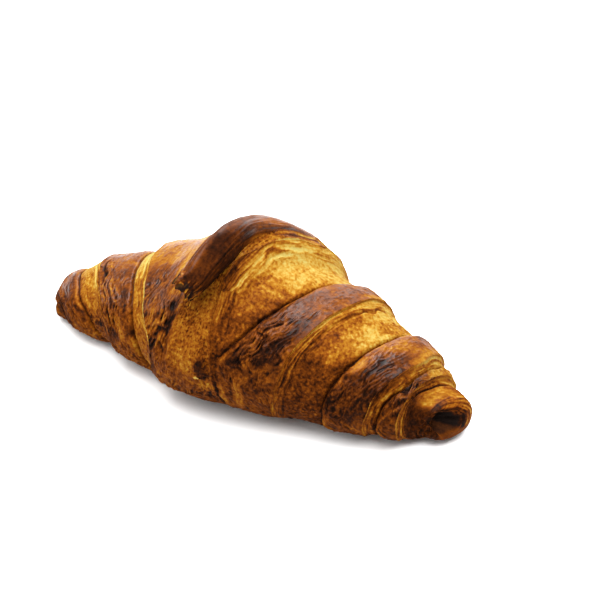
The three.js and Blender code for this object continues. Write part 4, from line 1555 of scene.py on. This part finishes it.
@dataclass(frozen=True)
class CrustFinish:
    """The baked crust: egg-washed and glossy on the wraps, matt and golden on the layered sides.

    Attributes:
        shades: colours from pale dough to the darkest brown.
        burnt: colour of burnt places, also painted into the hollows as black shade.
        burn_and_shade_share: how much of it shows where a place is burnt through, and where shade is painted black.
        line_strength: how much the lines of the cut layers change the browning.
        line_relief: how much they change the height.
        grain_range: how much the grain changes the browning, on smooth skin and on crumb.
        speck_strength: how much the specks darken.
        matt_roughness: roughness where no egg wash lies.
        glossy_roughness: roughness under egg wash.
        grain_roughness: how much the grain changes the roughness.
        coat_share: weight of the egg wash.
        coat_roughness: its roughness.
        refraction: index of refraction of the crust.
        reflection: how much the crust under the wash reflects.
        bump_strength: strength of the finest relief.
        bump_height: height of the finest relief.
    """

    shades: tuple[Shade, ...] = (
        Shade(0.00, 0.30, 0.235, 0.062),
        Shade(0.20, 0.27, 0.162, 0.0260),
        Shade(0.30, 0.235, 0.112, 0.0115),
        Shade(0.38, 0.195, 0.074, 0.0050),
        Shade(0.54, 0.122, 0.0315, 0.0020),
        Shade(0.70, 0.060, 0.0138, 0.0010),
        Shade(0.86, 0.0195, 0.0042, 0.0005),
        Shade(1.00, 0.0048, 0.0014, 0.0004),
    )
    burnt: tuple[float, float, float, float] = (0.0038, 0.0025, 0.0021, 1.0)
    burn_and_shade_share: float = 0.9
    line_strength: float = 0.5
    line_relief: float = 1.3
    grain_range: tuple[float, float] = (0.18, 0.75)
    speck_strength: float = 0.10
    matt_roughness: float = 0.72
    glossy_roughness: float = 0.36
    grain_roughness: float = 0.25
    coat_share: float = 0.80
    coat_roughness: float = 0.22
    refraction: float = 1.45
    reflection: float = 0.02
    bump_strength: float = 0.6
    bump_height: float = 0.00035

    def material(self) -> bpy.types.Material:
        """Makes the material.

        Returns:
            The material.
        """
        mat = bpy.data.materials.new("crust")
        mat.use_nodes = True
        mat.node_tree.nodes.clear()
        sketch = NodeSketch(mat.node_tree)
        shader = sketch.add("ShaderNodeBsdfPrincipled")
        sketch.join(shader.outputs[0], sketch.add("ShaderNodeOutputMaterial").inputs["Surface"])
        for name, value in (
            ("Coat Roughness", self.coat_roughness), ("IOR", self.refraction), ("Specular IOR Level", self.reflection),
        ):
            shader.inputs[name].default_value = value

        grain = sketch.add("ShaderNodeGroup", node_tree=crumb_grain_group())
        sketch.join(sketch.add("ShaderNodeTexCoord").outputs["Object"], grain.inputs["Place"])
        lines = sketch.add("ShaderNodeGroup", node_tree=layer_lines_group())
        sketch.join(sketch.attribute("wrap_place").outputs["Vector"], lines.inputs["Place"])
        strength = sketch.math("MULTIPLY", sketch.attribute("layers").outputs["Fac"], self.line_strength)
        line_part = sketch.math("MULTIPLY", lines.outputs["Lines"], strength)
        self._colour(sketch, shader, grain, line_part)
        self._gloss(sketch, shader, grain)

        bump = sketch.add("ShaderNodeBump")
        bump.inputs["Strength"].default_value = self.bump_strength
        bump.inputs["Distance"].default_value = self.bump_height
        relief = sketch.math("MULTIPLY", line_part, self.line_relief)
        sketch.join(sketch.math("ADD", grain.outputs["Grain"], relief), bump.inputs["Height"])
        sketch.join(bump.outputs["Normal"], shader.inputs["Normal"])
        return mat

    def _colour(
        self, sketch: NodeSketch, shader: bpy.types.Node, grain: bpy.types.Node, line_part: bpy.types.NodeSocket
    ) -> None:
        """Colours the crust: browning, plus the layers' lines, plus grain and specks, through the shades, then burnt,
        which also paints the hollows black as shade.

        Args:
            sketch: the material's nodes.
            shader: the surface.
            grain: the grain and specks.
            line_part: the lines of the layers, where they show.
        """
        brown = sketch.math("ADD", sketch.attribute("browning").outputs["Fac"], line_part)
        fineness = sketch.ramp(sketch.attribute("grainy").outputs["Fac"], 0.0, 1.0, *self.grain_range)
        brown = sketch.math("ADD", brown, sketch.math("MULTIPLY", grain.outputs["Grain"], fineness))
        brown = sketch.math("ADD", brown, sketch.math("MULTIPLY", grain.outputs["Specks"], self.speck_strength))
        colour = sketch.add("ShaderNodeGroup", node_tree=baked_colour_group(self.shades))
        sketch.join(brown, colour.inputs["Browning"])
        # This mix paints burnt places and the painted shade of the hollows in the burnt colour.
        burn_and_shade = sketch.add("ShaderNodeMix", data_type="RGBA")
        share, unburnt, burnt = burn_and_shade.inputs[0], burn_and_shade.inputs[6], burn_and_shade.inputs[7]
        sketch.join(sketch.math("MULTIPLY", sketch.attribute("scorch").outputs["Fac"], self.burn_and_shade_share), share)
        sketch.join(colour.outputs["Colour"], unburnt)
        burnt.default_value = self.burnt
        sketch.join(burn_and_shade.outputs[2], shader.inputs["Base Color"])

    def _gloss(self, sketch: NodeSketch, shader: bpy.types.Node, grain: bpy.types.Node) -> None:
        """Lays the egg wash: a smoother crust under a clear coat where the shine is high.

        Args:
            sketch: the material's nodes.
            shader: the surface.
            grain: the grain.
        """
        shine = sketch.attribute("shine").outputs["Fac"]
        rough = sketch.ramp(shine, 0.0, 1.0, self.matt_roughness, self.glossy_roughness)
        rough = sketch.math("ADD", rough, sketch.math("MULTIPLY", grain.outputs["Grain"], self.grain_roughness))
        sketch.join(rough, shader.inputs["Roughness"])
        sketch.join(sketch.math("MULTIPLY", shine, self.coat_share), shader.inputs["Coat Weight"])


# -------------------------------------------------------------------------------------------------------------- studio


@dataclass(frozen=True)
class Lamp:
    """A square soft light that faces the croissant: its place and side in metres, and its power in watts."""

    name: str
    place: tuple[float, float, float]
    side: float
    power: float


@dataclass
class Studio:
    """The pale floor, the soft light and the camera.

    Attributes:
        lamps: the lamps.
        lit_point: the point that they face.
        floor_size: side of the floor in metres.
        floor_colour: its colour.
        floor_roughness: its roughness.
        floor_reflection: how much it reflects.
        sky: strength of the even light from all round.
        target: the point in the middle of the picture.
        azimuth: direction of the camera, in degrees to the right of the front.
        elevation: its angle above the floor.
        distance: its distance from the target.
        pixels_per_millimetre: scale of the picture at the target.
        frame_pixels: side of the picture.
        sensor: width of the camera's sensor.
    """

    lamps: tuple[Lamp, ...] = (
        Lamp("overhead", (0.10, -0.04, 1.2), 1.3, 50.0),
        Lamp("window behind", (-0.30, 1.15, 0.85), 1.1, 17.0),
        Lamp("front fill", (-0.6, -0.8, 1.1), 1.0, 14.0),
    )
    lit_point: tuple[float, float, float] = (0.0, 0.0, 0.03)
    floor_size: float = 6.0
    floor_colour: tuple[float, float, float, float] = (0.80, 0.80, 0.80, 1.0)
    floor_roughness: float = 0.8
    floor_reflection: float = 0.2
    sky: float = 0.6
    target: tuple[float, float, float] = (19.66, -0.67, 41.5)
    azimuth: float = 29.5
    elevation: float = 36.0
    distance: float = 700.0
    pixels_per_millimetre: float = 2.8117
    frame_pixels: float = 600.0
    sensor: float = 36.0

    def floor(self) -> bpy.types.Object:
        """A pale sheet under the croissant.

        Returns:
            The floor.
        """
        half = self.floor_size / 2
        mesh = bpy.data.meshes.new("floor")
        corners = [(-half, -half, 0), (half, -half, 0), (half, half, 0), (-half, half, 0)]
        mesh.from_pydata(corners, [], [(0, 1, 2, 3)])
        mat = bpy.data.materials.new("floor")
        mat.use_nodes = True
        shader = mat.node_tree.nodes["Principled BSDF"]
        shader.inputs["Base Color"].default_value = self.floor_colour
        shader.inputs["Roughness"].default_value = self.floor_roughness
        shader.inputs["Specular IOR Level"].default_value = self.floor_reflection
        mesh.materials.append(mat)
        obj = bpy.data.objects.new("floor", mesh)
        bpy.context.scene.collection.objects.link(obj)
        return obj

    def _hang(self, lamp: Lamp) -> None:
        """Hangs one lamp, turned to the croissant.

        Args:
            lamp: the lamp.
        """
        data = bpy.data.lights.new(lamp.name, "AREA")
        data.size = lamp.side
        data.energy = lamp.power
        obj = bpy.data.objects.new(lamp.name, data)
        obj.location = lamp.place
        obj.rotation_mode = "QUATERNION"
        obj.rotation_quaternion = (Vector(self.lit_point) - Vector(lamp.place)).to_track_quat("-Z", "Y")
        bpy.context.scene.collection.objects.link(obj)

    def light(self) -> None:
        """Lights it: one large lamp overhead, a low one behind, a weak one in front on the left, and an even sky."""
        world = bpy.data.worlds.new("studio")
        bpy.context.scene.world = world
        world.use_nodes = True
        background = world.node_tree.nodes["Background"]
        background.inputs["Color"].default_value = (1.0, 1.0, 1.0, 1.0)
        background.inputs["Strength"].default_value = self.sky
        for lamp in self.lamps:
            self._hang(lamp)
        settings = bpy.context.scene.view_settings
        settings.view_transform = "Standard"
        settings.look = "None"

    def camera(self) -> None:
        """The camera at the photograph's viewing angle."""
        a, e = math.radians(self.azimuth), math.radians(self.elevation)
        back = Vector((math.sin(a) * math.cos(e), -math.cos(a) * math.cos(e), math.sin(e)))
        data = bpy.data.cameras.new("camera")
        data.sensor_width = self.sensor
        data.lens = self.sensor * self.pixels_per_millimetre * self.distance / self.frame_pixels
        obj = bpy.data.objects.new("camera", data)
        obj.location = (Vector(self.target) + back * self.distance) * METRES
        obj.rotation_mode = "QUATERNION"
        obj.rotation_quaternion = (-back).to_track_quat("-Z", "Y")
        bpy.context.scene.collection.objects.link(obj)
        bpy.context.scene.camera = obj


def main() -> None:
    """Builds the croissant, dresses it, lights it and logs how many faces each piece has."""
    logging.basicConfig(level=logging.INFO, format="%(name)s: %(message)s")
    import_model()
    roll = Roll()
    crust = CrustFinish().material()
    for piece in Body(roll).build() + Tongue(roll).build():
        piece.data.materials.append(crust)
        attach(piece, "root")
        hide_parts("croissant")
        LOG.info("%s: %d faces", piece.name, len(piece.data.polygons))
    studio = Studio()
    studio.floor()
    studio.light()
    studio.camera()


if __name__ == "__main__":
    main()
